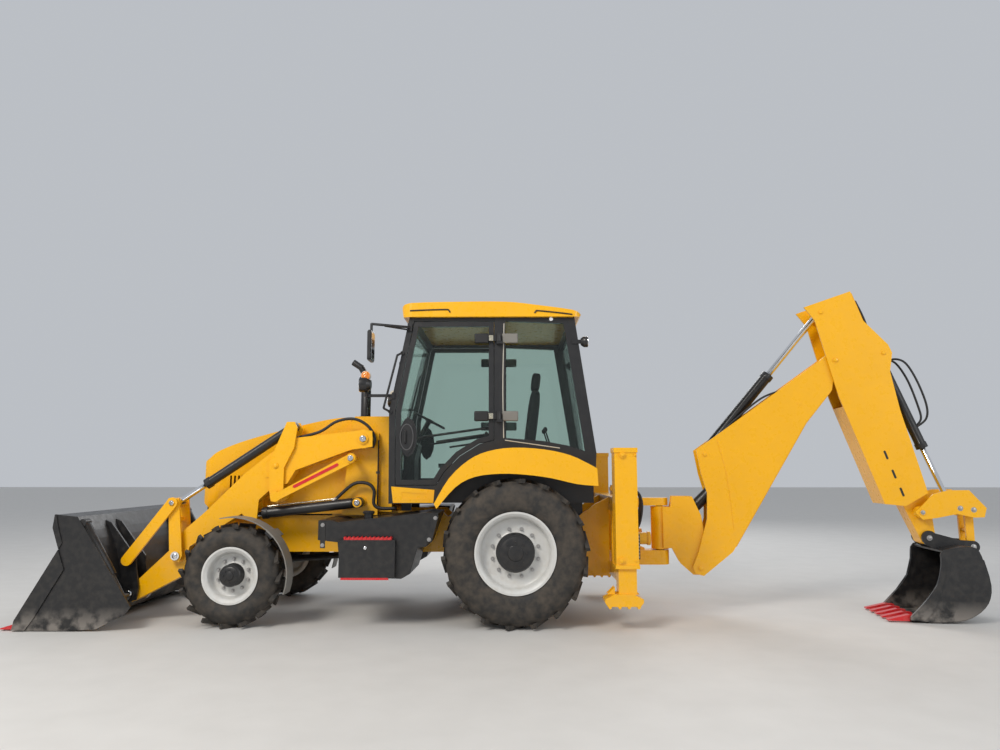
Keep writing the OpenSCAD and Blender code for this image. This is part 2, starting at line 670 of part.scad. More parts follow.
module door(s) {
    color(black) place() mirror([0, s > 0 ? 0 : 1, 0]) {
        sheet_xz(cab_half - 46, cab_half - 4) difference() {
            offset(delta = -panel_gap) polygon(door_hole);
            offset(delta = -panel_gap - 50) polygon(door_hole);
        }
        // lock panel in the glass, with its lever
        sheet_xz(cab_half - 20, cab_half - 6) polygon(lock_panel);
        sheet_xz(cab_half - 8, cab_half + 6) polygon(grown(lock_panel, [-1070, 1800], -34));
        rod([-1085, cab_half + 2, 1862], [-1085, cab_half + 26, 1850], 9);
        rod([-1085, cab_half + 2, 1738], [-1085, cab_half + 26, 1750], 9);
        rod([-1085, cab_half + 26, 1744], [-1085, cab_half + 26, 1856], 10);
        for (z = door_hinge_z) difference() {
            union() {
                translate([door_axis[0], door_axis[1], z - 19]) cylinder(h = 70, r = 24);
                box(-262, door_axis[0], cab_half + 16, cab_half + 32, z - 15, z + 45);
                box(-262, -212, cab_half - 10, cab_half + 32, z - 15, z + 45);
            }
            translate([door_axis[0], door_axis[1], z - 40]) cylinder(h = 120, r = 12 + fit);
        }
    }
}

module door_left() { door(-1); }
module door_right() { door(1); }

module door_glass(s) {
    color(glass) place() mirror([0, s > 0 ? 0 : 1, 0])
        sheet_xz(cab_half - 28, cab_half - 20 - seat) offset(delta = -panel_gap - 50 - seat) polygon(door_hole);
}

module door_glass_left() { door_glass(-1); }
module door_glass_right() { door_glass(1); }

// loader
arm_side = concat(
    [[-1440, 1868], [-1529, 1878]],
    fore([[-2195, 1800], [-2390, 1690], [-2470, 1637], [-2707, 1446], [-3102, 1054], [-3313, 867], [-3400, 716],
        [-3732, 396], [-3800, 350], [-3850, 250], [-3768, 190], [-3289, 440], [-3231, 724], [-2660, 1090],
        [-2605, 1141], [-2448, 1286], [-2281, 1344], [-2204, 1476]]),
    [[-1970, 1563], [-1647, 1680], [-1434, 1710]]
);
arm_lug = fore([[-2560, 1200], [-2740, 1060], [-2665, 985], [-2575, 985]]);

module loader_arms() {
    color(yellow) place() {
        difference() {
            union() {
                pair() {
                    slab(arm_in, arm_out, arm_side);
                    pin(arm_pivot, arm_in, arm_out, 95);
                    pin(lever_mid, arm_in - 40, arm_out + 45, pin_r);
                    pin(lever_mid, arm_in - 6, arm_out + 6, 74);
                    pin(front_low, arm_in - 4, arm_out + 6, 66);
                    pin(bucket_hinge, arm_in - 5, arm_out + 5, 62);
                    slab(arm_out - 1, arm_out + 6, fore([[-2430, 1640], [-2560, 1520], [-2500, 1400], [-2360, 1420],
                        [-2300, 1560]]));
                    slab(arm_in, arm_in + 14, arm_lug);
                    slab(arm_out - 14, arm_out, arm_lug);
                }
                pin([fore_x(-3180), 745], -arm_in - 20, arm_in + 20, 50);
            }
            pair() {
                pin(arm_pivot, arm_in - 5, arm_out + 5, pin_r + fit);
                pin(front_low, arm_in - 8, arm_out + 8, pin_r + fit);
                pin(bucket_hinge, arm_in - 8, arm_out + 8, pin_r + fit);
            }
        }
    }
}

module lift_barrels() {
    color(black) place() pair() barrel(lift_pivot, lift_pin, arm_mid, 965, 52, 30, 52, 96);
}

module lift_rods() {
    color(grey) place() pair() piston_rod(lift_pivot, lift_pin, arm_mid, 180, 30, 45, 90);
}

module rear_levers() {
    lever = fore([[-2296, 1958], [-2218, 1958], [-2190, 1900], [-2215, 1700], [-2310, 1500], [-2310, 1194],
        [-2365, 1152], [-2430, 1170], [-2450, 1280], [-2460, 1548], [-2400, 1700]]);
    color(yellow) place() pair() {
        difference() {
            union() {
                slab(arm_out + 12, arm_out + 37, lever);
                slab(arm_in - 37, arm_in - 12, lever);
            }
            pin(lever_mid, arm_in - 50, arm_out + 50, pin_r + fit);
        }
        pin(lever_top, arm_in - 12, arm_out + 12, pin_r);
        pin(lever_low, arm_out + 12, arm_out + 48, pin_r);
    }
}

module leveling_links() {
    color(yellow) place() pair() difference() {
        union() {
            slab(arm_out + 54, arm_out + 88, concat(
                fore([[-2373, 1166], [-2410, 1190], [-2410, 1250], [-2340, 1262]]),
                [[-1640, 1640], [-1590, 1620], [-1585, 1570], [-1620, 1545]]
            ));
            pin(link_pivot, arm_out + 54, arm_out + 88, 50);
            pin(lever_low, arm_out + 54, arm_out + 88, 50);
        }
        pin(link_pivot, arm_out + 40, arm_out + 100, pin_r + fit);
    }
}

module lever_pins() {
    color(grey) place() pair() {
        // inner head, with room beside the arms' inner plates
        pin(front_low, arm_in - 78, arm_in - 36, 105);
        pin(front_low, arm_in - 40, arm_out + 75, pin_r);
        pin(front_low, arm_out + 75, arm_out + 83, 42);
    }
}

module front_levers() {
    lever = fore([[-3440, 1200], [-3335, 1200], [-3275, 640], [-3300, 585], [-3380, 585], [-3400, 640]]);
    color(yellow) place() pair() {
        difference() {
            union() {
                slab(arm_out + 45, arm_out + 67, lever);
                slab(arm_in - 28, arm_in - 6, lever);
            }
            pin(front_low, arm_in - 60, arm_out + 80, pin_r + fit);
        }
        pin(front_top, arm_out + 67, arm_out + 112, pin_r);
        pin(front_top, arm_out - 20, arm_out + 45, 46);
        pin(front_top, arm_in - 6, arm_in + 20, 46);
        slab(arm_in - 28, arm_out + 67, fore([[-3402, 968], [-3352, 968], [-3352, 1006], [-3402, 1006]]));
    }
}

module tilt_barrels() {
    color(black) place() pair() barrel(lever_top, front_top, arm_mid, 1040, 48, 27, 50, 96);
}

module tilt_rods() {
    color(grey) place() pair() piston_rod(lever_top, front_top, arm_mid, 480, 27, 45, 96);
}

module bucket_links() {
    color(yellow) place() pair() difference() {
        union() {
            pin(front_top, arm_out + 72, arm_out + 104, 52);
            pin(bucket_link_pin, arm_out + 72, arm_out + 104, 52);
            slab(arm_out + 72, arm_out + 104, fore([[-3418, 1198], [-3340, 1130], [-3770, 560], [-3845, 632]]));
        }
        pin(front_top, arm_out + 60, arm_out + 120, pin_r + fit);
    }
}

module bucket_pins() {
    color(grey) place() pair() {
        pin(bucket_hinge, arm_in - 100, arm_in - 40, 98);
        pin(bucket_hinge, arm_in - 42, arm_out + 42, pin_r);
        pin(bucket_hinge, arm_out + 36, arm_out + 44, 42);
    }
}

bucket_back = curve(fore([[-4105, 1041], [-3990, 830], [-3915, 600], [-3895, 380], [-3915, 200], [-3990, 80],
    [-4136, 20]]), 3);
bucket_inner = curve(fore([[-4125, 1041], [-4009, 838], [-3935, 605], [-3915, 380], [-3934, 208], [-4003, 97],
    [-4140, 34]]), 3);

module loader_bucket() {
    side = fore([[-4317, 1063], [-4105, 1041], [-3560, 226], [-3600, 160], [-3866, 22], [-4136, 8], [-4645, 8],
        [-4625, 100], [-4262, 742], [-4330, 944]]);
    bracket = fore([[-4085, 990], [-4010, 960], [-3745, 620], [-3740, 540], [-3700, 330], [-3720, 215],
        [-3800, 190], [-3922, 215], [-3905, 380], [-3924, 600], [-3999, 830]]);
    color(black) place() {
        pair() slab(bucket_half - 20, bucket_half, side);
        slab(-bucket_half + 20, bucket_half - 20, concat(bucket_back, fore([[-4470, 20], [-4480, 10], [-4640, 10],
            [-4645, 36], [-4480, 36], [-4470, 32]]), back(bucket_inner)));
        slab(-bucket_half + 20, bucket_half - 20, fore([[-4105, 1041], [-4125, 1041], [-4310, 1060],
            [-4312, 1042], [-4125, 1018], [-4105, 1018]]));
        pair() {
            // cylinders that pull the front half open
            pin([fore_x(-4060), 985], bucket_half - 104, bucket_half - 10, 34);
            pin([fore_x(-3652), 296], bucket_half - 104, bucket_half - 10, 34);
            bar([fore_x(-4060), 985], [fore_x(-3652), 296], bucket_half - 60, 20, 560, 40);
            bar([fore_x(-4060), 985], [fore_x(-3652), 296], bucket_half - 60, 500, 790, 22);
            // side cutters and strips under the floor
            slab(bucket_half - 1, bucket_half + 14, fore([[-4642, 12], [-4520, 12], [-4450, 110], [-4196, 560],
                [-4262, 740], [-4624, 100]]));
            slab(bucket_half - 1, bucket_half + 10, fore([[-4330, 940], [-4262, 744], [-4230, 800], [-4276, 944],
                [-4300, 1050], [-4317, 1062]]));
            slab(300, 380, fore([[-4460, 22], [-4150, 20], [-4136, 6], [-4150, 2], [-4450, 4]]));
            slab(900, 980, fore([[-4460, 22], [-4150, 20], [-4136, 6], [-4150, 2], [-4450, 4]]));
        }
        pair() difference() {
            union() {
                slab(arm_in - 34, arm_in - 10, bracket);
                slab(arm_out + 10, arm_out + 34, bracket);
                pin(bucket_link_pin, arm_out + 34, arm_out + 64, 45);
            }
            pin(bucket_hinge, arm_in - 60, arm_out + 60, pin_r + fit);
        }
    }
}

module loader_teeth() {
    step = (2 * bucket_half - 140) / (loader_teeth_n - 1);
    color(red) place() {
        for (i = [0 : loader_teeth_n - 1]) {
            y = -bucket_half + 70 + i * step;
            slab(y - 38, y + 38, fore([[-4560, 36 + seat], [-4560, 62], [-4640, 62], [-4774, 22], [-4774, 12],
                [-4646, 12], [-4646, 36 + seat]]));
        }
    }
}

// backhoe
module carriage() {
    color(yellow) place() {
        box(1152, 1192, -360, 360, 400, 1250);
        box(1085, 1152, -340, 340, 1210 + fit, 1250);
        box(1085, 1152, -340, 340, 395, 430 - fit);
        box(1120 + fit, 1152, -340, 340, 470, 530);
        translate([king_x, 0, 1100]) cylinder(h = 80, r = 92);
        translate([king_x, 0, 480]) cylinder(h = 150, r = 92);
        slab(-92, 92, [[1192, 1100], [1192, 1180], [king_x, 1180], [king_x, 1100]]);
        slab(-92, 92, [[1192, 480], [1192, 630], [king_x, 630], [king_x, 480]]);
        translate([king_x, 0, 480]) cylinder(h = 700, r = king_r);
        pair() box(1192, 1240, 180, 345, 660, 880);
        pair() translate([1236, 265, 770]) rotate([0, 90, 0]) cylinder(h = 168, r = 62);
        pair() translate([1380, 265, 770]) rotate([0, 90, 0]) cylinder(h = 30, r = 70);
        slab(-14, 14, [[1190, 1000], [1190, 1102], [1396, 1102], [1300, 1060]]);
        slab(-14, 14, [[1190, 628], [1190, 760], [1290, 690], [1396, 650], [1396, 628]]);
        pair() box(1075, 1192, 250, 330, 1249, 1290);
        pair() for (x = [1098, 1166]) translate([x, 290, 1286]) cylinder(h = 24, r = 18, $fn = 6);
        pair() box(1150, 1200, 345, 372, 440, 1240);
    }
}

module kingpost() {
    cheek = [[30, 655], [30, 1085], [110, 1085], [130, 1198], [340, 1198], [429, 999], [445, 880], [480, 480],
        [430, 385], [330, 385], [200, 500], [120, 655]];
    color(yellow) hoe_place() difference() {
        union() {
            translate([0, 0, 640]) cylinder(h = 450, r = 92);
            for (s = [-1, 1]) slab(s > 0 ? 82 : -112, s > 0 ? 112 : -82, cheek);
            slab(-88, 88, [[26, 662], [26, 1078], [160, 1078], [160, 662]]);
            slab(-88, 88, [[132, 652], [300, 612], [352, 555], [352, 395], [336, 395], [208, 507]]);
            pin(boom_foot, -112, 112, 72);
            pin(boom_cyl_base, 48, 90, 52);
            pin(boom_cyl_base, -90, -48, 52);
            pin(boom_cyl_base, -112, 112, pin_r);
        }
        pin(boom_foot, -120, 120, foot_r + fit);
        translate([0, 0, 600]) cylinder(h = 500, r = king_r + fit);
    }
}

boom_side = [[404, 1637], [395, 1689], [1726, 2644], [1800, 2705], [1880, 2718], [1940, 2640], [1920, 2560],
    [1823, 2397], [1808, 2312], [1530, 1968], [768, 681], [736, 629], [433, 379], [350, 400], [324, 469],
    [391, 634], [484, 965], [493, 1236], [439, 1436]];

module boom() {
    color(yellow) hoe_place() difference() {
        union() {
            for (s = [-1, 1]) slab(s > 0 ? boom_half - 20 : -boom_half, s > 0 ? boom_half : -boom_half + 20, boom_side);
            // top web, low where the dipper's cylinder lies, then flush
            slab(-boom_half + 20, boom_half - 20, [[600, 1645], [1250, 2290], [1726, 2632], [1726, 2614], [1258, 2274],
                [606, 1629]]);
            // lower web
            slab(-boom_half + 20, boom_half - 20, [[1800, 2318], [1522, 1974], [760, 685], [778, 680], [1540, 1966],
                [1808, 2300]]);
            pin(boom_tip, -boom_half, boom_half, 92);
            pin(boom_foot, -boom_half, boom_half, foot_r);
            pin(dipper_cyl_base, -boom_half, boom_half, pin_r);
            pin(dipper_cyl_base, 50, boom_half, 50);
            pin(dipper_cyl_base, -boom_half, -50, 50);
            pin(boom_cyl_pin, 72, boom_half, 55);
            pin(boom_cyl_pin, -boom_half, -72, 55);
        }
        pin(boom_tip, -boom_half - 5, boom_half + 5, foot_r + fit);
        // slot in the lower web, where the cylinder's eye passes
        slab(-82, 82, [[1470, 1925], [1500, 1880], [1850, 2335], [1790, 2385]]);
    }
}

module boom_barrel() {
    color(black) hoe_place() barrel(boom_cyl_base, boom_cyl_pin, 0, 1390, 62, 34, 56, 88);
}

module boom_rod() {
    color(grey) hoe_place() piston_rod(boom_cyl_base, boom_cyl_pin, 0, 400, 34, 52, 136);
}

dipper_side = [[1562, 3200], [2038, 3359], [2149, 3041], [2381, 2778], [2415, 2692], [2383, 2492], [2455, 2094],
    [2666, 1245], [2448, 1114], [2248, 1132], [1864, 2237], [1666, 3055]];

module dipper() {
    color(yellow) hoe_place() difference() {
        union() {
            for (s = [-1, 1]) {
                slab(s > 0 ? dipper_half - 20 : -dipper_half, s > 0 ? dipper_half : -dipper_half + 20, dipper_side);
            }
            // right web, left web and top web
            slab(-dipper_half + 20, dipper_half - 20, [[2038, 3350], [2060, 3340], [2160, 3041], [2232, 2700],
                [2300, 2400], [2420, 2094], [2640, 1245], [2622, 1240], [2402, 2090], [2282, 2394], [2214, 2696],
                [2142, 3036]]);
            slab(-dipper_half + 20, dipper_half - 20, [[1900, 2133], [1918, 2135], [2262, 1140], [2248, 1132]]);
            slab(-dipper_half + 20, dipper_half - 20, [[2248, 1132], [2450, 1114], [2666, 1245], [2650, 1262],
                [2440, 1134], [2256, 1150]]);
            // nose
            slab(-nose_half, nose_half, [[2380, 1400], [2620, 1400], [2666, 1245], [2717, 1025], [2736, 800],
                [2600, 750], [2592, 780], [2448, 1114]]);
            pin(hoe_hinge, -nose_half, nose_half, 74);
            pin(crank_pivot, -dipper_half, dipper_half, 60);
            pin(crank_pivot, -dipper_half - 34, dipper_half + 34, pin_r);
            pin(boom_tip, -dipper_half, dipper_half, foot_r);
            for (s = [0, 1]) mirror([0, s, 0]) {
                pin(dipper_cyl_pin, 72, dipper_half, 58);
                pin(bucket_cyl_base, 50, dipper_half, 52);
            }
            pin(bucket_cyl_base, -60, 60, pin_r);
        }
        pin(hoe_hinge, -nose_half - 5, nose_half + 5, pin_r + fit);
    }
}

module dipper_barrel() {
    color(black) hoe_place() barrel(dipper_cyl_base, dipper_cyl_pin, 0, 1120, 58, 32, 54, 92);
}

module dipper_rod() {
    color(grey) hoe_place() piston_rod(dipper_cyl_base, dipper_cyl_pin, 0, 870, 32, 50, 136);
}

module hoe_crank() {
    crank = [[2590, 1120], [2700, 1234], [2851, 1275], [3040, 1276], [3190, 1100], [3165, 1010], [3070, 1005],
        [2914, 1040], [2731, 1000], [2590, 980], [2520, 1053]];
    color(yellow) hoe_place() difference() {
        union() {
            for (s = [0, 1]) mirror([0, s, 0]) {
                slab(dipper_half + 6, dipper_half + 26, crank);
                pin(bucket_cyl_pin, 50, dipper_half + 6, 26);
                pin(bucket_cyl_pin, 148, dipper_half + 6, 44);
                pin(link_top, 50, dipper_half + 6, pin_r);
                pin(link_top, 148, dipper_half + 6, 44);
            }
        }
        pin(crank_pivot, -dipper_half - 40, dipper_half + 40, pin_r + fit);
    }
}

module hoe_link() {
    color(yellow) hoe_place() difference() {
        union() {
            for (s = [0, 1]) mirror([0, s, 0]) {
                pin(link_top, 54, 92, 50);
                pin(link_end, 54, 88, 43);
                slab(54, 88, [[3030, 1082], [3110, 1082], [3108, 714], [3036, 714]]);
            }
            pin([3071, 870], -60, 60, 26);
        }
        pin(link_top, -100, 100, pin_r + fit);
    }
}

module bucket_barrel() {
    color(black) hoe_place() barrel(bucket_cyl_base, bucket_cyl_pin, 0, 1055, 52, 29, 52, 92);
}

module bucket_rod() {
    color(grey) hoe_place() piston_rod(bucket_cyl_base, bucket_cyl_pin, 0, 590, 29, 46, 88);
}

hoe_shell_out = concat(curve([[2690, 690], [2860, 730], [2990, 720], [3045, 600], [3088, 369], [3053, 209],
    [2938, 94], [2782, 34], [2520, 17]], 3), [[2350, 28]]);
hoe_shell_in = concat(curve([[2695, 672], [2860, 710], [2975, 700], [3026, 595], [3068, 369], [3034, 218],
    [2928, 112], [2778, 54], [2520, 37]], 3), [[2350, 48]]);

hoe_shell_back = curve([[3045, 600], [3088, 369], [3053, 209], [2938, 94], [2782, 34], [2520, 17]], 3);

module hoe_bucket() {
    side = concat(curve([[2690, 700], [2860, 730], [2990, 720], [3045, 600], [3092, 369], [3053, 205], [2938, 92],
        [2782, 32], [2520, 15]], 3), [[2350, 28]], curve([[2350, 60], [2497, 214], [2608, 367], [2656, 539],
        [2660, 660]], 3));
    ear = [[2600, 800], [2640, 864], [2692, 850], [2955, 778], [3090, 770], [3130, 714], [3085, 640], [3020, 640],
        [2990, 722], [2860, 730], [2690, 690], [2620, 730]];
    color(black) hoe_place() {
        for (s = [0, 1]) mirror([0, s, 0]) {
            slab(hoe_half - 18, hoe_half, side);
            slab(hoe_half - 1, hoe_half + 14, [[2346, 30], [2470, 30], [2560, 120], [2640, 300], [2700, 520], [2662, 640],
                [2654, 539], [2606, 367], [2495, 214], [2350, 62]]);
            slab(hoe_half - 60, hoe_half - 10, concat(grown(hoe_shell_back, [2820, 380], 14), back(hoe_shell_back)));
            slab(110, 150, concat(grown(hoe_shell_back, [2820, 380], 14), back(hoe_shell_back)));
            difference() {
                union() {
                    slab(115, 140, ear);
                    pin(hoe_hinge, 115, 140, 72);
                    pin(link_end, 115, 140, 58);
                    pin(link_end, 94, 115, 46);
                }
                pin(hoe_hinge, 110, 120, pin_r);
            }
        }
        pin(hoe_hinge, -118, 118, pin_r);
        slab(-hoe_half + 18, hoe_half - 18, concat(hoe_shell_out, back(hoe_shell_in)));
    }
}

module hoe_teeth() {
    step = (2 * hoe_half - 120) / (hoe_teeth_n - 1);
    color(red) hoe_place() {
        for (i = [0 : hoe_teeth_n - 1]) {
            y = -hoe_half + 60 + i * step;
            slab(y - 32, y + 32, [[2430, 43.2], [2430, 70], [2350, 76], [2148, 26], [2148, 14], [2350 - seat, 14],
                [2350 - seat, 48 + seat]]);
        }
    }
}

module leg(s) {
    color(yellow) place() mirror([0, s > 0 ? 0 : 1, 0]) {
        difference() {
            box(sleeve_x0 + fit, sleeve_x1 - fit, sleeve_y0 + fit, sleeve_y1 - fit, 330, 1600);
            box(sleeve_x0 + 14, sleeve_x1 - 14, sleeve_y0 + 14, sleeve_y1 - 14, 400, 1610);
        }
        // foot with its toes
        slab(930, 1130, [[825, 262], [850, 226], [1150, 226], [1181, 262], [1181, 292], [1128, 318], [1092, 336],
            [916, 336], [880, 318], [825, 292]]);
        for (x = [870, 960, 1046, 1136]) slab(930, 1130, [[x - 22, 234], [x - 8, 206], [x + 8, 206], [x + 22, 234]]);
        pair_x(1003, 112) slab(980, 1000, [[0, 330], [0, 400], [-70, 330]]);
        pair_x(1003, 112) slab(1060, 1080, [[0, 330], [0, 400], [-70, 330]]);
    }
}

// children on the low side of x, moved out by d, and mirrored to its high side
module pair_x(x, d) {
    translate([x - d + 32, 0, 0]) children();
    translate([x + d - 32, 0, 0]) mirror([1, 0, 0]) children();
}

module leg_left() { leg(-1); }
module leg_right() { leg(1); }

// parts shown
chassis_frame();
rear_frame();
engine_block();
axles();
side_tanks();
step_treads();
grille();
cab_frame();
cab_roof();
rear_fenders();
cab_glass();
cab_interior();
exhaust_stack();
mirrors_lamps();
hood();
door_left();
door_right();
door_glass_left();
door_glass_right();
tyre_front_left();
tyre_front_right();
tyre_rear_left();
tyre_rear_right();
rim_front_left();
rim_front_right();
rim_rear_left();
rim_rear_right();
knuckle_left();
knuckle_right();
loader_arms();
lift_barrels();
lift_rods();
rear_levers();
leveling_links();
lever_pins();
front_levers();
tilt_barrels();
tilt_rods();
bucket_links();
bucket_pins();
loader_bucket();
loader_teeth();
carriage();
kingpost();
boom();
boom_barrel();
boom_rod();
dipper();
dipper_barrel();
dipper_rod();
hoe_crank();
hoe_link();
bucket_barrel();
bucket_rod();
hoe_bucket();
hoe_teeth();
leg_left();
leg_right();
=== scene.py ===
"""Looks of the backhoe loader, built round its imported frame.

Places are in millimetres, measured as in the part's source: X runs rearward from the rear axle, Y to the
machine's right and Z up from the ground. They are drawn in metres, in the frame's own axes.
"""
import json
import math

import bmesh
import bpy
from mathutils import Matrix, Vector


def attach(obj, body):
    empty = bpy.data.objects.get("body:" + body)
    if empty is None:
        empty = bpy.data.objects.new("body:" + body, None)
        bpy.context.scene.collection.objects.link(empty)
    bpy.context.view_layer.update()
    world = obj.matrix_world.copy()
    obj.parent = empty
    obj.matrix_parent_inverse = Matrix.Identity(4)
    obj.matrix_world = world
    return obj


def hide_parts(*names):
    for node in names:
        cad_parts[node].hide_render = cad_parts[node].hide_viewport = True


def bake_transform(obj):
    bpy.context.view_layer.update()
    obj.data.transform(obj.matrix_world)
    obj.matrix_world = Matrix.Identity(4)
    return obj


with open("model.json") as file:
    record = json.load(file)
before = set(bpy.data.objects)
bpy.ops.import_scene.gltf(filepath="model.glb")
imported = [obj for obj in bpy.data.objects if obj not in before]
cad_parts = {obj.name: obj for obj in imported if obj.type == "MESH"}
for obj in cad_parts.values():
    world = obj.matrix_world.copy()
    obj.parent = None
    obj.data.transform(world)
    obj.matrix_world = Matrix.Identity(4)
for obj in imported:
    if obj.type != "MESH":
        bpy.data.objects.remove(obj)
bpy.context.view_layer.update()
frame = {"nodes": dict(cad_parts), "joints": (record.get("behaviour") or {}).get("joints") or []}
nodes = frame["nodes"]

# Sizes of the part's source that the pieces here line up with
FRONT_AXLE = -2697
FRONT_RADIUS = 485
REAR_RADIUS = 700
KING_X = 1565
SWING = math.radians(7.5)
CAB_HALF = 850
CAB_FLOOR = 1190
ARM_OUT = 710
TANK_FACE = 1060
TOOL_BOX_FACE = 1120
CARRIAGE_FACE = 372
BOOM_HALF = 150
DIPPER_HALF = 180

steer_joint = next(joint for joint in frame["joints"] if joint["name"] == "steer_left")
SHIFT = steer_joint["pos_m"][0] * 1000 - FRONT_AXLE

# How far the foot of a bolt head is let into the face that it stands on
SUNK = 0.4
# Radius that stands for a point where a turned form closes
POINT = 0.01
# Angle in degrees from which an edge counts as sharp
SHARP = 35
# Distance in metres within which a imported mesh's points are joined
WELD = 0.00001

FORWARD = Vector((-1, 0, 0))
REARWARD = Vector((1, 0, 0))
LEFT = Vector((0, -1, 0))
RIGHT = Vector((0, 1, 0))
UP = Vector((0, 0, 1))
# Name, sign of Y and outward direction of each side, the left one first, which faces the camera
SIDES = (("left", -1, LEFT), ("right", 1, RIGHT))


# Places

def at(x, y, z):
    """A point measured from the rear axle, in metres in the frame's axes."""
    return Vector(((x + SHIFT) / 1000, y / 1000, z / 1000))


def hoe(r, y, z):
    """A point of the swung backhoe: r behind the swing axis, y across it."""
    x = r * math.cos(SWING) + y * math.sin(SWING)
    side = -r * math.sin(SWING) + y * math.cos(SWING)
    return at(KING_X + x, side, z)


def step(x, y, z):
    """A move by those millimetres, in metres."""
    return Vector((x, y, z)) / 1000


def side_view(y, outline, place=at):
    """The points (x, z) of a side view, all at that y."""
    return [place(x, y, z) for x, z in outline]


def circle(centre, across, up, count, start=0.0):
    """Points round a centre, whose half axes are two vectors. The first point is start steps from across."""
    angles = (2 * math.pi * (k + start) / count for k in range(count))
    return [centre + across * math.cos(a) + up * math.sin(a) for a in angles]


def basis(axis):
    """The axis and two directions square to it, each of length one."""
    axis = axis.normalized()
    side = axis.cross(UP if abs(axis.z) < 0.9 else RIGHT).normalized()
    return axis, side, side.cross(axis).normalized()


def spline(points, steps, closed):
    """A smooth line through the points, with that many steps between two of them."""
    m = len(points)
    line = []
    for i in range(m if closed else m - 1):
        if closed:
            a, b, c, d = points[i - 1], points[i], points[(i + 1) % m], points[(i + 2) % m]
        else:
            a, b, c, d = points[max(i - 1, 0)], points[i], points[i + 1], points[min(i + 2, m - 1)]
        for k in range(steps):
            t = k / steps
            bend = (2 * a - 5 * b + 4 * c - d) * t * t + (3 * b - a - 3 * c + d) * t ** 3
            line.append(0.5 * (2 * b + (c - a) * t + bend))
    if not closed:
        line.append(points[-1])
    return line


# Materials. The helpers hand on a node's output socket.

DARK = (0.012, 0.012, 0.013)
DUST = (0.42, 0.36, 0.28)
SCRAPED_METAL = (0.2, 0.18, 0.16)
# Heights in metres at which dust on paint fades out and is at its thickest
DUST_TOP = 1.5
DUST_LOW = 0.1
COAT_ROUGHNESS = 0.08
# Sockets of a Mix node that mixes colours
MIX_INPUTS = (6, 7)
MIX_OUTPUT = 2


def set_sockets(node, values):
    for socket, value in values.items():
        node.inputs[socket].default_value = value


def add_node(mat, kind, sockets=None, **settings):
    """A new node with those settings, and with those values on its input sockets."""
    node = mat.node_tree.nodes.new(kind)
    for key, value in settings.items():
        setattr(node, key, value)
    set_sockets(node, sockets or {})
    return node


def link(mat, output, node, socket):
    mat.node_tree.links.new(output, node.inputs[socket])


def shader_of(mat):
    return mat.node_tree.nodes["Principled BSDF"]


def material(name, colour, rough=0.5, metal=0.0, coat=0.0):
    mat = bpy.data.materials.new(name)
    mat.use_nodes = True
    set_sockets(shader_of(mat), {
        "Base Color": (*colour, 1),
        "Roughness": rough,
        "Metallic": metal,
        "Coat Weight": coat,
        "Coat Roughness": COAT_ROUGHNESS,
    })
    return mat


def position(mat):
    """Where the surface is at rest, in metres. The coordinates of every mesh are the frame's."""
    return add_node(mat, "ShaderNodeTexCoord").outputs["Object"]


def height(mat):
    """The height above the ground, in metres."""
    split = add_node(mat, "ShaderNodeSeparateXYZ")
    link(mat, position(mat), split, "Vector")
    return split.outputs["Z"]


def noise(mat, scale, detail, stretch=(1, 1, 1)):
    mapping = add_node(mat, "ShaderNodeMapping", {"Scale": stretch})
    link(mat, position(mat), mapping, "Vector")
    texture = add_node(mat, "ShaderNodeTexNoise", {"Scale": scale, "Detail": detail})
    link(mat, mapping.outputs["Vector"], texture, "Vector")
    return texture.outputs["Fac"]


def ramp(mat, source, low, high, a=0.0, b=1.0):
    """Turns a value between low and high into one between a and b, and holds those outside."""
    node = add_node(mat, "ShaderNodeMapRange", {"From Min": low, "From Max": high, "To Min": a, "To Max": b})
    link(mat, source, node, "Value")
    return node.outputs["Result"]


def product(mat, a, b):
    node = add_node(mat, "ShaderNodeMath", operation="MULTIPLY")
    link(mat, a, node, 0)
    link(mat, b, node, 1)
    return node.outputs["Value"]


def blend(mat, factor, a, b):
    """A mix of two colours, each a colour or a socket."""
    node = add_node(mat, "ShaderNodeMix", data_type="RGBA")
    link(mat, factor, node, "Factor")
    for colour, socket in zip((a, b), MIX_INPUTS):
        if isinstance(colour, bpy.types.NodeSocket):
            link(mat, colour, node, socket)
        else:
            set_sockets(node, {socket: (*colour, 1)})
    return node.outputs[MIX_OUTPUT]


def shade(colour, factor):
    return [min(c * factor, 1) for c in colour]


def set_colour(mat, source):
    link(mat, source, shader_of(mat), "Base Color")


def set_rough(mat, source, low, high):
    """Roughness from low to high over the middle of the values of a noise."""
    link(mat, ramp(mat, source, 0.3, 0.7, low, high), shader_of(mat), "Roughness")


def set_bump(mat, source, strength, distance):
    node = add_node(mat, "ShaderNodeBump", {"Strength": strength, "Distance": distance})
    link(mat, source, node, "Height")
    link(mat, node.outputs["Normal"], shader_of(mat), "Normal")


def painted(name, colour, dust, coat, rough=(0.24, 0.36)):
    """Gloss machine paint with faint shade changes, fine waves and dust that thickens towards the ground."""
    mat = material(name, colour, coat=coat)
    paint = blend(mat, noise(mat, 2.2, 6), shade(colour, 0.93), shade(colour, 1.05))
    grain = noise(mat, 17, 8)
    low_down = ramp(mat, height(mat), DUST_TOP, DUST_LOW, dust * 0.2, dust)
    spots = ramp(mat, grain, 0.42, 0.72)
    set_colour(mat, blend(mat, product(mat, low_down, spots), paint, DUST))
    set_rough(mat, grain, *rough)
    set_bump(mat, noise(mat, 60, 2), 0.06, 0.002)
    return mat


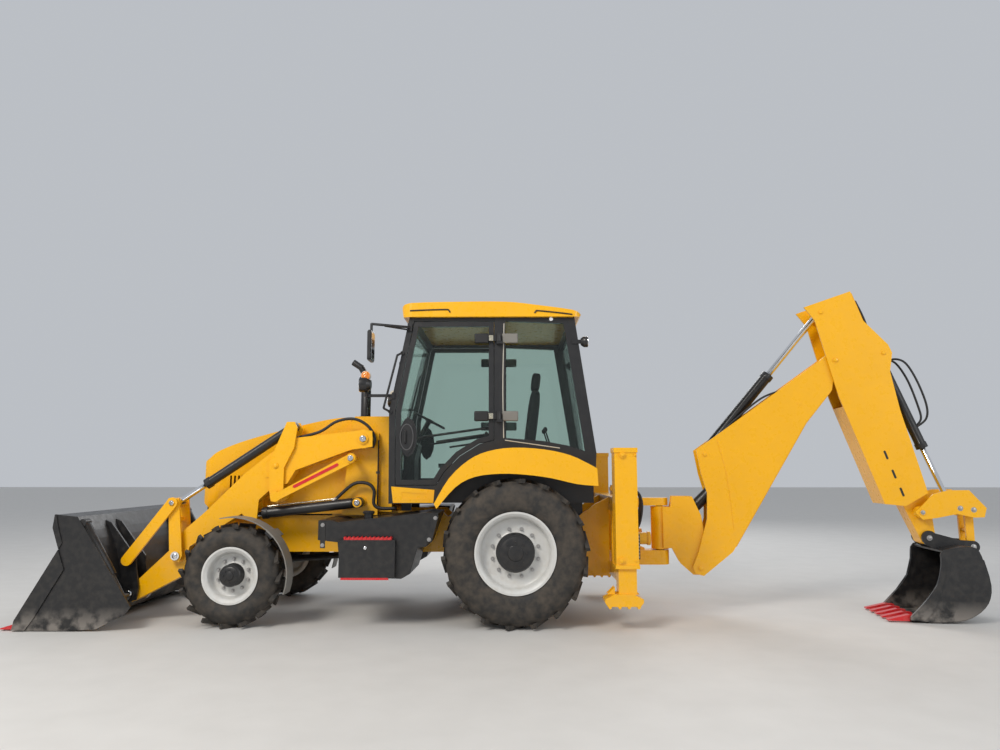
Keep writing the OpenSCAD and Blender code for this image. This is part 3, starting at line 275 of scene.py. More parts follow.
def tyre_rubber():
    """Dark rubber with dried mud in patches."""
    mat = material("tyre_rubber", (0.03, 0.03, 0.031), rough=0.8)
    grain = noise(mat, 14, 8)
    mud = ramp(mat, grain, 0.35, 0.75)
    set_colour(mat, blend(mat, mud, (0.02, 0.019, 0.018), (0.08, 0.066, 0.052)))
    set_rough(mat, grain, 0.68, 0.9)
    set_bump(mat, noise(mat, 180, 6), 0.35, 0.002)
    return mat


def steel(name, colour, rough=0.3, scratch=0.12):
    """Bare or plated metal with fine lines across its height."""
    mat = material(name, colour, rough=rough, metal=1.0)
    lines = noise(mat, 40, 6, (1, 1, 6))
    set_rough(mat, lines, max(rough - scratch, 0.04), rough + scratch)
    set_bump(mat, lines, 0.05, 0.001)
    return mat


def glazing():
    """Faintly green window glass with a little haze."""
    mat = material("window_glass", (0.66, 0.78, 0.72), rough=0.02)
    set_sockets(shader_of(mat), {"Transmission Weight": 1.0, "IOR": 1.35})
    set_rough(mat, noise(mat, 3, 5), 0.0, 0.05)
    return mat


def plastic(name, colour, rough, grain=300, depth=0.25):
    """A matt moulded, cast or woven surface with a fine grain and slow shade changes."""
    mat = material(name, colour, rough=rough)
    patches = noise(mat, 5, 6)
    set_colour(mat, blend(mat, patches, shade(colour, 0.85), shade(colour, 1.15)))
    set_rough(mat, patches, rough - 0.08, rough + 0.1)
    set_bump(mat, noise(mat, grain, 3), depth, 0.0006)
    return mat


def lamp_glass(name, colour, glow):
    """A ribbed lens."""
    mat = material(name, colour, rough=0.08, coat=1.0)
    set_sockets(shader_of(mat), {
        "Transmission Weight": 0.35,
        "Emission Color": (*colour, 1),
        "Emission Strength": glow,
    })
    ribs = add_node(mat, "ShaderNodeTexWave", {"Scale": 60}, bands_direction="Z")
    link(mat, position(mat), ribs, "Vector")
    set_bump(mat, ribs.outputs["Fac"], 0.4, 0.002)
    return mat


def two_tone(name, look, colour, test):
    """A copy of a look that turns into the colour where the socket of test is one."""
    mat = look.copy()
    mat.name = name
    chosen = test(mat)
    old = shader_of(mat).inputs["Base Color"].links[0].from_socket
    set_colour(mat, blend(mat, chosen, old, colour))
    return mat


def dark_centre(name, look, centre, radius):
    """A look that is dark within that radius, in millimetres, of a line along Y through the centre."""
    edge = 0.001

    def test(mat):
        flat = add_node(mat, "ShaderNodeVectorMath", {1: (1, 0, 1)}, operation="MULTIPLY")
        link(mat, position(mat), flat, 0)
        gap = add_node(mat, "ShaderNodeVectorMath", {1: (centre.x, 0, centre.z)}, operation="DISTANCE")
        link(mat, flat.outputs[0], gap, 0)
        return ramp(mat, gap.outputs["Value"], radius / 1000 + edge, radius / 1000 - edge)

    return two_tone(name, look, DARK, test)


def scraped(mat):
    """One in patches low on the mesh, where digging has taken the paint off."""
    low_down = ramp(mat, height(mat), 0.22, 0.05)
    spots = ramp(mat, noise(mat, 6, 10), 0.42, 0.55)
    return product(mat, low_down, spots)


YELLOW = painted("machine_yellow", (0.92, 0.46, 0.002), dust=0.1, coat=0.15)
BLACK = painted("black_paint", DARK, dust=0.05, rough=(0.32, 0.5), coat=0.08)
SATIN = painted("cab_black", (0.015, 0.015, 0.016), dust=0.03, rough=(0.3, 0.42), coat=0.15)
RED = painted("step_red", (0.62, 0.012, 0.018), dust=0.15, rough=(0.3, 0.45), coat=0.2)
CREAM = plastic("cream", (0.55, 0.52, 0.44), 0.5)
WHITE = painted("rim_white", (0.62, 0.62, 0.6), dust=0.3, rough=(0.3, 0.5), coat=0.2)
FENDER = plastic("fender_grey", (0.2, 0.19, 0.17), 0.55)
TYRE = tyre_rubber()
CHROME = steel("chrome", (0.75, 0.76, 0.78), 0.08, 0.04)
STEEL = steel("worn_steel", (0.45, 0.44, 0.43), 0.42)
ZINC = steel("zinc_plate", (0.62, 0.58, 0.46))
CAST = plastic("cast_grey", (0.09, 0.09, 0.095), 0.6, 120, 0.6)
GLASS = glazing()
TRIM = plastic("black_trim", DARK, 0.5)
RUBBER = plastic("hose_rubber", (0.014, 0.014, 0.015), 0.6, 500)
FABRIC = plastic("seat_fabric", (0.03, 0.031, 0.035), 0.9, 800, 0.9)
LENS = lamp_glass("lamp_lens", (0.85, 0.87, 0.9), 0.15)
AMBER = lamp_glass("amber_lens", (0.95, 0.28, 0.01), 0.1)
# Its faint red glow is used only on the seat belt buckle, which is no lamp: a painted glow.
RED_GLOW = lamp_glass("red_glow", (0.6, 0.01, 0.01), 0.05)
MIRROR = steel("mirror_face", (0.85, 0.87, 0.88), 0.03, 0.01)

FRONT_CENTRE = at(FRONT_AXLE, 0, FRONT_RADIUS)
REAR_RIM = dark_centre("rear_rim", WHITE, at(0, 0, REAR_RADIUS), 186)
FRONT_RIM = dark_centre("front_rim", WHITE, FRONT_CENTRE, 108)
KNUCKLE = dark_centre("knuckle", FENDER, FRONT_CENTRE, 535)
BUCKET = two_tone("bucket", BLACK, SCRAPED_METAL, scraped)


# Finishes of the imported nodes

NODE_LOOKS = {
    YELLOW: "chassis_frame rear_frame cab_roof rear_fenders hood loader_arms rear_levers leveling_links "
            "front_levers bucket_links carriage kingpost boom dipper hoe_crank hoe_link leg_left leg_right",
    BLACK: "axles side_tanks grille lift_barrels tilt_barrels boom_barrel dipper_barrel bucket_barrel "
           "exhaust_stack",
    BUCKET: "loader_bucket hoe_bucket",
    SATIN: "cab_frame door_left door_right mirrors_lamps",
    RED: "step_treads loader_teeth hoe_teeth",
    CHROME: "lift_rods tilt_rods boom_rod dipper_rod bucket_rod lever_pins bucket_pins",
    GLASS: "cab_glass door_glass_left door_glass_right",
    TYRE: "tyre_front_left tyre_front_right tyre_rear_left tyre_rear_right",
    REAR_RIM: "rim_rear_left rim_rear_right",
    FRONT_RIM: "rim_front_left rim_front_right",
    KNUCKLE: "knuckle_left knuckle_right",
    CAST: "engine_block cab_interior",
}
for look, names in NODE_LOOKS.items():
    for name in names.split():
        node_object = nodes[name]
        node_object.data.materials.clear()
        node_object.data.materials.append(look)
        node_object.modifiers.new("weld", "WELD").merge_threshold = WELD


# Shapes

class Piece:
    """Collects simple forms in one mesh. Points are in metres, and sizes in millimetres."""

    def __init__(self):
        self.bm = bmesh.new()

    def rings(self, rings, closed=False):
        """A skin over rings with as many points each, with both ends filled where it isn't closed."""
        rows = [[self.bm.verts.new(p) for p in ring] for ring in rings]
        n = len(rows[0])
        for i in range(len(rows) if closed else len(rows) - 1):
            a, b = rows[i], rows[(i + 1) % len(rows)]
            for k in range(n):
                self.bm.faces.new((a[k], a[(k + 1) % n], b[(k + 1) % n], b[k]))
        if not closed:
            self.bm.faces.new(rows[0][::-1])
            self.bm.faces.new(rows[-1])

    def lathe(self, origin, axis, profile, n):
        """Turns a profile of (distance along the axis, radius) about the axis."""
        axis, side, up = basis(axis)
        rings = []
        for along, radius in profile:
            r = max(radius, POINT) / 1000
            rings.append(circle(origin + axis * along / 1000, side * r, up * r, n))
        self.rings(rings)

    def bolt(self, origin, axis, r, h, washer=True):
        """A six-sided head with a chamfer, on a washer unless told otherwise."""
        washer_r, washer_h = r * 1.45, h * 0.18
        chamfer_r, chamfer_h = r * 0.82, h * 0.85
        if washer:
            self.lathe(origin, axis, [(0, washer_r), (washer_h, washer_r)], 20)
        self.lathe(origin, axis, [(h * 0.1, r), (chamfer_h, r), (h, chamfer_r)], 6)

    def ball(self, origin, axis, r, squeeze=1.0):
        """A ball, with its radius along the axis multiplied by squeeze."""
        rows = 10
        angles = [math.pi * k / rows for k in range(rows + 1)]
        self.lathe(origin, axis, [(-r * squeeze * math.cos(a), r * math.sin(a)) for a in angles], 24)

    def slab(self, y0, y1, outline, place=at):
        """A plate between two values of y, with its outline in side view as (x, z)."""
        depth = place(0, y1, 0) - place(0, y0, 0)
        points = side_view(y0, outline, place)
        self.rings([points, [p + depth for p in points]])

    def box(self, x0, x1, y0, y1, z0, z1):
        self.slab(y0, y1, [(x0, z0), (x1, z0), (x1, z1), (x0, z1)])

    def tube(self, points, r, n=12, smooth=True, closed=False, steps=6):
        """A round bar along the points, or along a smooth line through them."""
        line = spline(points, steps, closed) if smooth else list(points)
        last = len(line) - 1
        side = None
        rings = []
        for i, p in enumerate(line):
            ahead = line[(i + 1) % len(line)] if closed or i < last else p
            behind = line[i - 1] if closed or i > 0 else p
            axis = (ahead - behind).normalized()
            if side is None:
                side = basis(axis)[1]
            else:
                side = (side - axis * side.dot(axis)).normalized()
            rings.append(circle(p, side * r / 1000, axis.cross(side) * r / 1000, n))
        self.rings(rings, closed)

    def end(self, name, body, mat, slot, bevel=0.0, angle=SHARP):
        """The finished object, with its edges rounded by bevel. It rides on the body, where one is named."""
        mesh = bpy.data.meshes.new(name)
        bmesh.ops.recalc_face_normals(self.bm, faces=self.bm.faces)
        self.bm.to_mesh(mesh)
        self.bm.free()
        mesh.materials.append(mat)
        obj = bpy.data.objects.new(name, mesh)
        bpy.context.scene.collection.objects.link(obj)
        if bevel:
            mod = obj.modifiers.new("bevel", "BEVEL")
            mod.width = bevel / 1000
            mod.segments = 2
            mod.limit_method = "ANGLE"
            mod.angle_limit = math.radians(SHARP)
            mod.use_clamp_overlap = True
        mesh.shade_smooth()
        mesh.set_sharp_from_angle(angle=math.radians(angle))
        if body:
            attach(obj, body)
        return obj


# Wheels

WHEELS = (
    # name, axle x, radius, face of the disc, bolt circle radius, bolts, hub radius, hub face
    ("rear", 0, REAR_RADIUS, 981, 225, 12, 150, 1065),
    ("front", FRONT_AXLE, FRONT_RADIUS, 938.5, 150, 10, 84, 1037.5),
)
for name, x, z, face, bolt_circle, count, hub_r, hub_face in WHEELS:
    for side, s, out in SIDES:
        body = f"wheel_{name}_{side}"
        nuts = Piece()
        for place in circle(at(x, s * face, z), step(bolt_circle, 0, 0), step(0, 0, bolt_circle), count, 0.5):
            nuts.bolt(place, out, 13, 24)
        nuts.end(f"nuts_{name}_{side}", body, STEEL, "pin_steel")

        hub = Piece()
        hub.lathe(at(x, s * hub_face, z), out, [
            (-6, hub_r), (4, hub_r), (10, hub_r * 0.86), (12, hub_r * 0.5), (20, hub_r * 0.46),
            (24, hub_r * 0.3), (24.5, 1)], 40)
        screw_circle = 0.72 * hub_r
        screw_foot = at(x, s * (hub_face + 6), z)
        for place in circle(screw_foot, step(screw_circle, 0, 0), step(0, 0, screw_circle), 8):
            hub.bolt(place, out, 8, 12, washer=False)
        hub.end(f"hub_{name}_{side}", body, BLACK, "black_paint", bevel=1)


# Pins of the loader, with a cap and a grease nipple on each, or a plain bolt head

LOADER_PINS = (
    # name, body, point (x, z), how far the face stands out from the arms, radius, height, look
    ("arm_pivot", "chassis", (-1529, 1788), 18, 34, 14, CHROME),
    ("link_pivot", "chassis", (-1631, 1593), 106, 30, 14, CHROME),
    ("lift_base", "chassis", (-1576, 1153), 6, 30, 14, CHROME),
    ("lever_mid", "arms", (-2393, 1520), 45, 24, 10, YELLOW),
    ("lever_low", "rear_levers", (-2373, 1216), 48, 24, 8, YELLOW),
    ("front_low", "lever_pins", (-3339, 640), 83, 26, 8, CHROME),
    ("front_top", "front_levers", (-3387, 1156), 112, 24, 10, CHROME),
    ("bucket_hinge", "bucket_pins", (-3790, 275), 44, 28, 10, CHROME),
)
for name, body, (x, z), stand_out, r, h, look in LOADER_PINS:
    caps = Piece()
    y = ARM_OUT + stand_out
    for side, s, out in SIDES:
        if look is YELLOW:
            caps.bolt(at(x, s * y, z), out, r * 0.8, h)
        else:
            caps.lathe(at(x, s * y, z), out, [(0, r), (h * 0.6, r), (h, r * 0.8)], 28)
            caps.lathe(at(x, s * (y + h), z), out, [(0, 5), (8, 5), (11, 3)], 12)
    caps.end(f"caps_{name}", body, look, "yellow_paint" if look is YELLOW else "chrome_rod", bevel=1)


# Seat

PAD_ROWS = 40
PAD_COLUMNS = 72
PAD_ROUNDING = 0.36
# Shares of the cushion's half thickness
CROWN = 0.12
CHANNEL_DEPTH = 0.09
# Share of the cushion's half width
CHANNEL_WIDTH = 0.035


def rounded(value):
    """Pushes a sine or cosine outward, so that a circle comes near a square."""
    return math.copysign(abs(value) ** PAD_ROUNDING, value)


def pad(name, centre, half, lean, channels=()):
    """A crowned cushion of that half size along X, Y and Z, turned by lean degrees about Y.

    Sewn channels run along it at those shares of its half width.
    """
    turn = Matrix.Rotation(math.radians(lean), 3, "Y")
    rings = []
    for i in range(1, PAD_ROWS):
        v = math.pi * (i / PAD_ROWS - 0.5)
        ring = []
        for k in range(PAD_COLUMNS):
            u = 2 * math.pi * k / PAD_COLUMNS
            x = rounded(math.cos(v)) * rounded(math.cos(u))
            y = rounded(math.cos(v)) * rounded(math.sin(u))
            sewn = sum(math.exp(-((y - c) / CHANNEL_WIDTH) ** 2) for c in channels)
            swell = 1 - CROWN + CROWN * (1 - x * x) * (1 - y * y) - CHANNEL_DEPTH * sewn
            z = rounded(math.sin(v)) * swell
            ring.append(centre + turn @ step(x * half[0], y * half[1], z * half[2]))
        rings.append(ring)
    piece = Piece()
    piece.rings(rings)
    obj = piece.end(name, "chassis", FABRIC, "seat_fabric", angle=60)
    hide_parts("cab_interior")


pad("seat_cushion", at(-75, 0, 1625), (255, 245, 68), -2, (-0.45, 0.45))
pad("seat_back", at(192, 0, 1990), (350, 232, 62), 97, (-0.45, 0.45))
pad("seat_headrest", at(236, 0, 2440), (95, 130, 50), 97)


# The cab inside

# Height of the foot of what stands on the cab floor
FOOT = CAB_FLOOR + 1
SEAT_BASE_TOP = 1420
CONSOLE_TOP = 1672
WHEEL_CENTRE = at(-940, 0, 2020)
WHEEL_TURN = Matrix.Rotation(math.radians(28), 3, "Y")
WHEEL_RADIUS = 180


def cab_fittings():
    """Seat base and pan, dashboard, and a console with a rail on each side of the seat."""
    piece = Piece()
    piece.box(-220, 130, -170, 170, FOOT, SEAT_BASE_TOP)
    piece.box(-270, 150, -215, 215, SEAT_BASE_TOP, 1562)
    piece.slab(-190, 190, [(-1196, FOOT), (-1196, 1700), (-1170, 1790), (-1090, 1800), (-1040, 1740),
                           (-1076, 1600), (-1076, FOOT)])
    for side, s, out in SIDES:
        piece.slab(s * 270, s * 400, [(-330, FOOT), (-342, 1640), (-320, CONSOLE_TOP), (40, CONSOLE_TOP),
                                      (70, 1640), (70, FOOT)])
        piece.slab(s * 210, s * 275, [(-200, 1440), (-200, 1500), (60, 1500), (60, 1440)])
    obj = piece.end("cab_fittings", "chassis", TRIM, "black_paint", bevel=10)
    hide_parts("cab_interior")


def steering_wheel(piece):
    """Rim, hub, three spokes and column."""
    across = WHEEL_TURN @ step(WHEEL_RADIUS, 0, 0)
    upward = WHEEL_TURN @ step(0, WHEEL_RADIUS, 0)
    piece.tube(circle(WHEEL_CENTRE, across, upward, 24), 13, closed=True, steps=3)
    piece.lathe(WHEEL_CENTRE - WHEEL_TURN @ step(0, 0, 20), WHEEL_TURN @ UP,
                [(0, 40), (6, 46), (28, 46), (34, 38), (36, 20)], 32)
    for angle in (90, 210, 330):
        spoke = WHEEL_TURN @ Matrix.Rotation(math.radians(angle), 3, "Z") @ step(WHEEL_RADIUS - 2, 0, 0)
        piece.tube([WHEEL_CENTRE, WHEEL_CENTRE + spoke], 9, smooth=False)
    piece.tube([at(-1090, 0, 1740), at(-944, 0, 2013)], 28, smooth=False, n=20)


def lever(piece, points, r, knob, knob_r, squeeze):
    """A bent rod through the points, with a knob round the point knob."""
    piece.tube(points, r)
    piece.ball(knob, UP, knob_r, squeeze)


def cab_controls():
    """Steering wheel, two loader levers by the seat and the two columns of the backhoe's levers behind it."""
    piece = Piece()
    steering_wheel(piece)
    for y in (300, 340):
        rod = [at(-290, y, 1660), at(-310, y, 1780), at(-320, y, 1880)]
        lever(piece, rod, 7, at(-320, y, 1890), 20, 1.25)
    for side, s, out in SIDES:
        y = s * 180
        column_top = at(420, y, 1640)
        piece.tube([at(420, y, FOOT), column_top], 30, smooth=False, n=20)
        piece.ball(column_top, UP, 30)
        rod = [column_top, at(370, y, 1780), at(332, y, 1900)]
        lever(piece, rod, 8, at(330, y, 1908), 23, 1.3)
    obj = piece.end("cab_controls", "chassis", TRIM, "black_paint", angle=50)
    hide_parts("cab_interior")


cab_fittings()
cab_controls()

# The seat belt buckle glows faintly red: a painted glow.
buckle = Piece()
buckle.box(-40, -8, -262, -246, 1640, 1720)
buckle.end("belt_buckle", "chassis", RED_GLOW, "red_paint", bevel=4)


# The cab outside

DOOR_BAR_Y = 812
HINGE_HEIGHTS = (2785, 2005)
ROOF_BAR_Y = 904
TURN_LAMP = (-1480, 2404)


def door_trim(side, s, out):
    """Grab bars, hinges and the ring round the lock of a door."""
    door = f"door_{side}"
    bars = Piece()
    for line in (((-1003, 1788), (-234, 1897)), ((-780, 1752), (-250, 1831))):
        bars.tube(side_view(s * DOOR_BAR_Y, line), 12, smooth=False)
    bars.end(f"door_rails_{side}", door, SATIN, "black_paint")

    hinge_halves = (
        # name, body, look, x from and to, y from and to, past the cab's side
        ("front", door, TRIM, -404, -261, -12, 30),
        ("rear", "chassis", FENDER, -128, 32, 0.5, 26),
    )
    for name, body, look, x0, x1, y0, y1 in hinge_halves:
        covers = Piece()
        for z in HINGE_HEIGHTS:
            covers.box(x0, x1, s * (CAB_HALF + y0), s * (CAB_HALF + y1), z - 50, z + 50)
        covers.end(f"hinge_covers_{name}_{side}", body, look, "black_paint", bevel=12)

    plates = Piece()
    plate_face = CAB_HALF + 35
    for z in HINGE_HEIGHTS:
        plates.box(-258, -216, s * (plate_face - 3), s * plate_face, z - 28, z + 28)
        for rise in (-13, 13):
            plates.bolt(at(-238, s * (plate_face - 0.5), z + rise), out, 7, 7)
    plates.end(f"hinge_plates_{side}", door, ZINC, "pin_steel", bevel=1)

    ring = Piece()
    ring_line = circle(at(-1070, s * (CAB_HALF + 5), 1800), step(64, 0, 0), step(0, 0, 126), 20)
    ring.tube(ring_line, 5, n=8, closed=True, steps=3)
    ring.end(f"lock_ring_{side}", door, CAST, "cast_grey")


def seal_highlights(side, s):
    """Seals beside the B-pillar and along the rear side window, coloured cream as a painted highlight along
    their rubber.
    """
    y = s * (CAB_HALF - 1)
    seals = Piece()
    seals.tube(side_view(y, ((-112, 1790), (-120, 2300), (-108, 2940))), 5, n=8)
    seals.tube(side_view(y, ((-100, 1768), (441, 1690))), 5, n=8, smooth=False)
    seals.end(f"seal_highlights_{side}", "chassis", CREAM, "white_paint")


def mirror(side, s):
    """The bright face in a mirror's housing."""
    glass = Piece()
    glass.box(-1389.6, -1387.5, s * 960, s * 1120, 2546, 2808)
    glass.end(f"mirror_face_{side}", "chassis", MIRROR, "chrome_rod", bevel=0.8)


def lamps(side, s, out):
    """The head lamp, the work lamp at the rear, the turn lamp and the small lamp in the roof's edge."""
    head = at(-1539, s * 880, 2320)
    work = at(729, s * 855, 2750)
    lens = Piece()
    lens.lathe(head, FORWARD, [(0, 70), (4, 69), (14, 52), (19, 28), (20, 2)], 40)
    lens.lathe(work, REARWARD, [(0, 50), (4, 49), (9, 34), (12, 14), (12.5, 2)], 36)
    lens.end(f"lamp_lenses_{side}", "chassis", LENS, "cab_glass")
    rims = Piece()
    for centre, radius, thickness in ((head, 73, 4), (work, 53, 3)):
        rim = circle(centre, step(0, radius, 0), step(0, 0, radius), 20)
        rims.tube(rim, thickness, n=8, closed=True, steps=2)
    rims.end(f"lamp_rims_{side}", "chassis", CHROME, "chrome_rod")

    x, z = TURN_LAMP
    shell = Piece()
    shell.lathe(at(x, s * 866, z), out, [(0, 34), (8, 48), (38, 50), (42, 47), (42, 3)], 36)
    shell.end(f"turn_lamp_hood_{side}", "chassis", CREAM, "white_paint")
    amber = Piece()
    amber.lathe(at(x, s * 907, z), out, [(0, 44), (8, 43), (14, 34), (18, 16), (19, 2)], 36)
    amber.end(f"turn_lamp_{side}", "chassis", AMBER, "cab_glass")

    small = Piece()
    small.ball(at(365, s * 866, 2980), out, 20, 0.5)
    small.end(f"roof_edge_lamp_{side}", "chassis", LENS, "white_paint")


def roof_bars(side, s):
    """Black bars along the edge of the roof."""
    bars = Piece()
    for line in (((-1050, 3062), (-900, 3068), (-690, 3073), (-662, 3066), (-648, 3044)),
                 ((200, 3034), (212, 3054), (240, 3058), (453, 3036), (575, 3020))):
        bars.tube(side_view(s * ROOF_BAR_Y, line), 7)
    bars.end(f"roof_bars_{side}", "chassis", TRIM, "black_paint")


def tank_trim(side, s, out):
    """Bracket plates with their bolts on a side tank, and the lock and lid of the tool box on it."""
    plate_face = TANK_FACE + 6
    plates = Piece()
    for outline in (((-1847, 985), (-1800, 985), (-1796, 745), (-1843, 745)),
                    ((-790, 1054), (-724, 1048), (-790, 800), (-850, 800))):
        plates.slab(s * (TANK_FACE + 0.3), s * plate_face, outline)
    plates.end(f"tank_brackets_{side}", "chassis", BLACK, "black_paint", bevel=1.5)
    bolts = Piece()
    for x, z in ((-1824, 960), (-1822, 772), (-757, 1026), (-815, 826)):
        bolts.bolt(at(x, s * (plate_face - SUNK), z), out, 13, 12)
    bolts.end(f"tank_bolts_{side}", "chassis", STEEL, "pin_steel")

    foot = TOOL_BOX_FACE - 0.2
    lock = Piece()
    lock.lathe(at(-1407, s * foot, 753), out, [(0, 15), (4, 15), (6, 12), (6.4, 6), (4.4, 5), (4.4, 1)], 28)
    lock.end(f"tool_box_lock_{side}", "chassis", CHROME, "chrome_rod")
    lid = Piece()
    lid.slab(s * foot, s * (TOOL_BOX_FACE + 2), [(-1648, 818), (-1131, 818), (-1131, 812), (-1648, 812)])
    lid.end(f"tool_box_lid_{side}", "chassis", SATIN, "black_paint", bevel=0.6)


for side, s, out in SIDES:
    door_trim(side, s, out)
    seal_highlights(side, s)
    mirror(side, s)
    lamps(side, s, out)
    roof_bars(side, s)
    tank_trim(side, s, out)

CAP_RADIUS = 54
tank_cap = Piece()
tank_cap.lathe(at(-1420, -900, 1054.6), UP,
               [(0, CAP_RADIUS - 2), (4, CAP_RADIUS), (24, CAP_RADIUS), (30, 46), (31, 3)], 40)
for foot in circle(at(-1420, -900, TANK_FACE), step(CAP_RADIUS, 0, 0), step(0, CAP_RADIUS, 0), 18):
    tank_cap.tube([foot, foot + step(0, 0, 18)], 3, n=6, smooth=False)
tank_cap.end("tank_cap", "chassis", TRIM, "black_paint")


# Hoses and pipes of the loader. Each is fixed at both ends on one body and rides on it, but for the lift
# cylinder's hose.

ARM_HOSE_Y = 668
LIFT_HOSE_Y = 640
LIFT_PIPE_Y = 635
TOWER_LINE_Y = 600
# The lift cylinder's axis in the rest pose: its height where X is 0, and its slope
LIFT_AXIS_HEIGHT = 1331
LIFT_SLOPE = 0.113


def loader_hoses(side, s):
    """The hose along the arm, the lift cylinder's hose, and the line with its clamp on the tower."""
    hose = Piece()
    hose.tube(side_view(s * ARM_HOSE_Y, ((-2207, 1801), (-1982, 1861), (-1811, 1966), (-1636, 1992),
                                         (-1495, 1922), (-1420, 1800), (-1440, 1700))), 15)
    hose.end(f"arm_hose_{side}", "arms", RUBBER, "tyre_rubber")

    hose = Piece()
    hose.tube(side_view(s * LIFT_HOSE_Y, ((-1802, 1189), (-1632, 1335), (-1493, 1343), (-1422, 1275),
                                          (-1419, 1138), (-1348, 1095), (-1192, 1095))), 17, steps=10)
    hose = hose.end(f"lift_hose_{side}", None, RUBBER, "tyre_rubber")
    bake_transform(hose)

    line = Piece()
    line.tube(side_view(s * TOWER_LINE_Y, ((-1392, 1780), (-1392, 1126))), 7, smooth=False)
    line.box(-1410, -1374, s * (TOWER_LINE_Y - 12), s * (TOWER_LINE_Y + 12), 1440, 1464)
    line.end(f"tower_line_{side}", "chassis", RUBBER, "tyre_rubber")


def hose_fittings(side, s):
    """Six-sided unions at the ends of the two hoses."""
    union = Piece()
    union.lathe(at(-2215, s * ARM_HOSE_Y, 1797), Vector((1, 0, 0.26)),
                [(0, 12), (14, 12), (15, 18), (34, 18), (35, 14), (52, 14)], 6)
    union.end(f"arm_fittings_{side}", "arms", STEEL, "pin_steel")
    union = Piece()
    union.lathe(at(-1832, s * LIFT_HOSE_Y, 1168), Vector((0.85, 0, 0.6)),
                [(-8, 15), (14, 15), (15, 21), (34, 21), (35, 18), (52, 18)], 6)
    union.end(f"lift_fittings_{side}", "lift_barrels", STEEL, "pin_steel")


def red_strut(side, s):
    """The red service strut, stowed on the leveling link."""
    strut = Piece()
    strut.slab(s * (ARM_OUT + 87.7), s * (ARM_OUT + 92),
               [(-2180, 1300), (-1760, 1513), (-1748, 1529), (-1764, 1545), (-2196, 1326), (-2200, 1308)])
    strut.end(f"red_strut_{side}", "leveling_links", RED, "red_paint", bevel=1.2)


def lift_pipe(side, s):
    """The bright pipe along the lift cylinder, given by its height above the cylinder's axis."""
    line = ((-2470, 44), (-2462, 62), (-2440, 64), (-1830, 64), (-1808, 62), (-1800, 44))
    points = [(x, LIFT_AXIS_HEIGHT + LIFT_SLOPE * x + rise) for x, rise in line]
    pipe = Piece()
    pipe.tube(side_view(s * LIFT_PIPE_Y, points), 8, steps=3)
    pipe.end(f"lift_pipe_{side}", "lift_barrels", ZINC, "chrome_rod")


for side, s, out in SIDES:
    loader_hoses(side, s)
    hose_fittings(side, s)
    red_strut(side, s)
    lift_pipe(side, s)


# The sliding carriage: a small valve block on its left plate, bolts, and hoses behind the block

BLOCK_FACE = 392
valve_block = Piece()
valve_block.box(1199, 1285, -BLOCK_FACE, -346, 568, 820)
valve_block.end("valve_block", "carriage", BLACK, "black_paint", bevel=4)

bolts = Piece()
for z in range(592, 820, 34):
    for x in (1214, 1270):
        bolts.bolt(at(x, -(BLOCK_FACE - 0.3), z), LEFT, 7, 8)
for side, s, out in SIDES:
    for z in (505, 690, 1000, 1180):
        bolts.bolt(at(1175, s * (CARRIAGE_FACE - 0.3), z), out, 9, 9)
bolts.end("carriage_bolts", "carriage", STEEL, "pin_steel")

hoses = Piece()
for k in range(3):
    y = -352 + 26 * k
    hoses.tube([at(1170, y, 1242), at(1215, y, 1268), at(1290, y, 1236), at(1322 - 8 * k, y - 6, 1120),
                at(1300 - 14 * k, y - 10, 960), at(1262, y, 860), at(1238, y, 812)], 11)
hoses.end("carriage_hoses", "carriage", RUBBER, "tyre_rubber")


# Boom and dipper

SLOT_CENTRES = ((2288, 1630), (2353, 1436), (2418, 1255))
SLOT_HALF_LENGTH = 46
SLOT_HALF_WIDTH = 11
# A slot with cut corners, in shares of its half length and half width
SLOT_OUTLINE = ((-1, -0.6), (-0.85, -1), (0.85, -1), (1, -0.6), (1, 0.6), (0.85, 1), (-0.85, 1), (-1, 0.6))


def boom_rib(side, s):
    """A slim rib along the boom's side."""
    rib = Piece()
    line = ((617, 1790), (700, 1420), (754, 860))
    rib.tube(side_view(s * (BOOM_HALF + 0.5), line, hoe), 3.5, n=8)
    rib.end(f"boom_rib_{side}", "boom", YELLOW, "yellow_paint")


def dipper_slot_shade(side, s):
    """Dark plates for the slots down the dipper's side: painted shade where the slots open into it."""
    slots = Piece()
    along = Vector((65, -194)).normalized()
    across = Vector((-along.y, along.x))
    for centre in SLOT_CENTRES:
        outline = [Vector(centre) + along * a * SLOT_HALF_LENGTH + across * b * SLOT_HALF_WIDTH
                   for a, b in SLOT_OUTLINE]
        slots.slab(s * (DIPPER_HALF - SUNK), s * (DIPPER_HALF + 1), outline, hoe)
    slots.end(f"dipper_slot_shade_{side}", "dipper", TRIM, "black_paint")


hoses = Piece()
for y in (-112, -88):
    line = ((560, 1652), (600, 1790), (700, 1900), (860, 2050), (1100, 2240), (1300, 2318))
    hoses.tube(side_view(y, line, hoe), 10)
hoses.end("boom_hoses", "boom", RUBBER, "tyre_rubber")

for side, s, out in SIDES:
    boom_rib(side, s)
    dipper_slot_shade(side, s)

pipes = Piece()
for y in (-150, -124):
    line = ((2092, 3260), (2180, 3030), (2246, 2720), (2312, 2420), (2432, 2100))
    pipes.tube(side_view(y, line, hoe), 9)
pipes.end("dipper_pipes", "dipper", TRIM, "black_paint")

BUCKET_HOSE = (
    # r, z, how far the point bulges out, as a multiple of bulge
    (2395, 2590, 0), (2450, 2640, 1), (2540, 2600, 2), (2640, 2420, 2), (2720, 2160, 2), (2735, 2010, 1),
    (2655, 1920, 0))
hoses = Piece()
for y, bulge in ((26, 0), (-26, 18)):
    hoses.tube([hoe(r + bulge * k, y * (1 + 0.7 * k), z) for r, z, k in BUCKET_HOSE], 11)
    for r, z in ((2400, 2588), (2655, 1918)):
        hoses.ball(hoe(r, y, z), UP, 20)
hoses.end("bucket_cylinder_hoses", "bucket_barrel", RUBBER, "tyre_rubber")

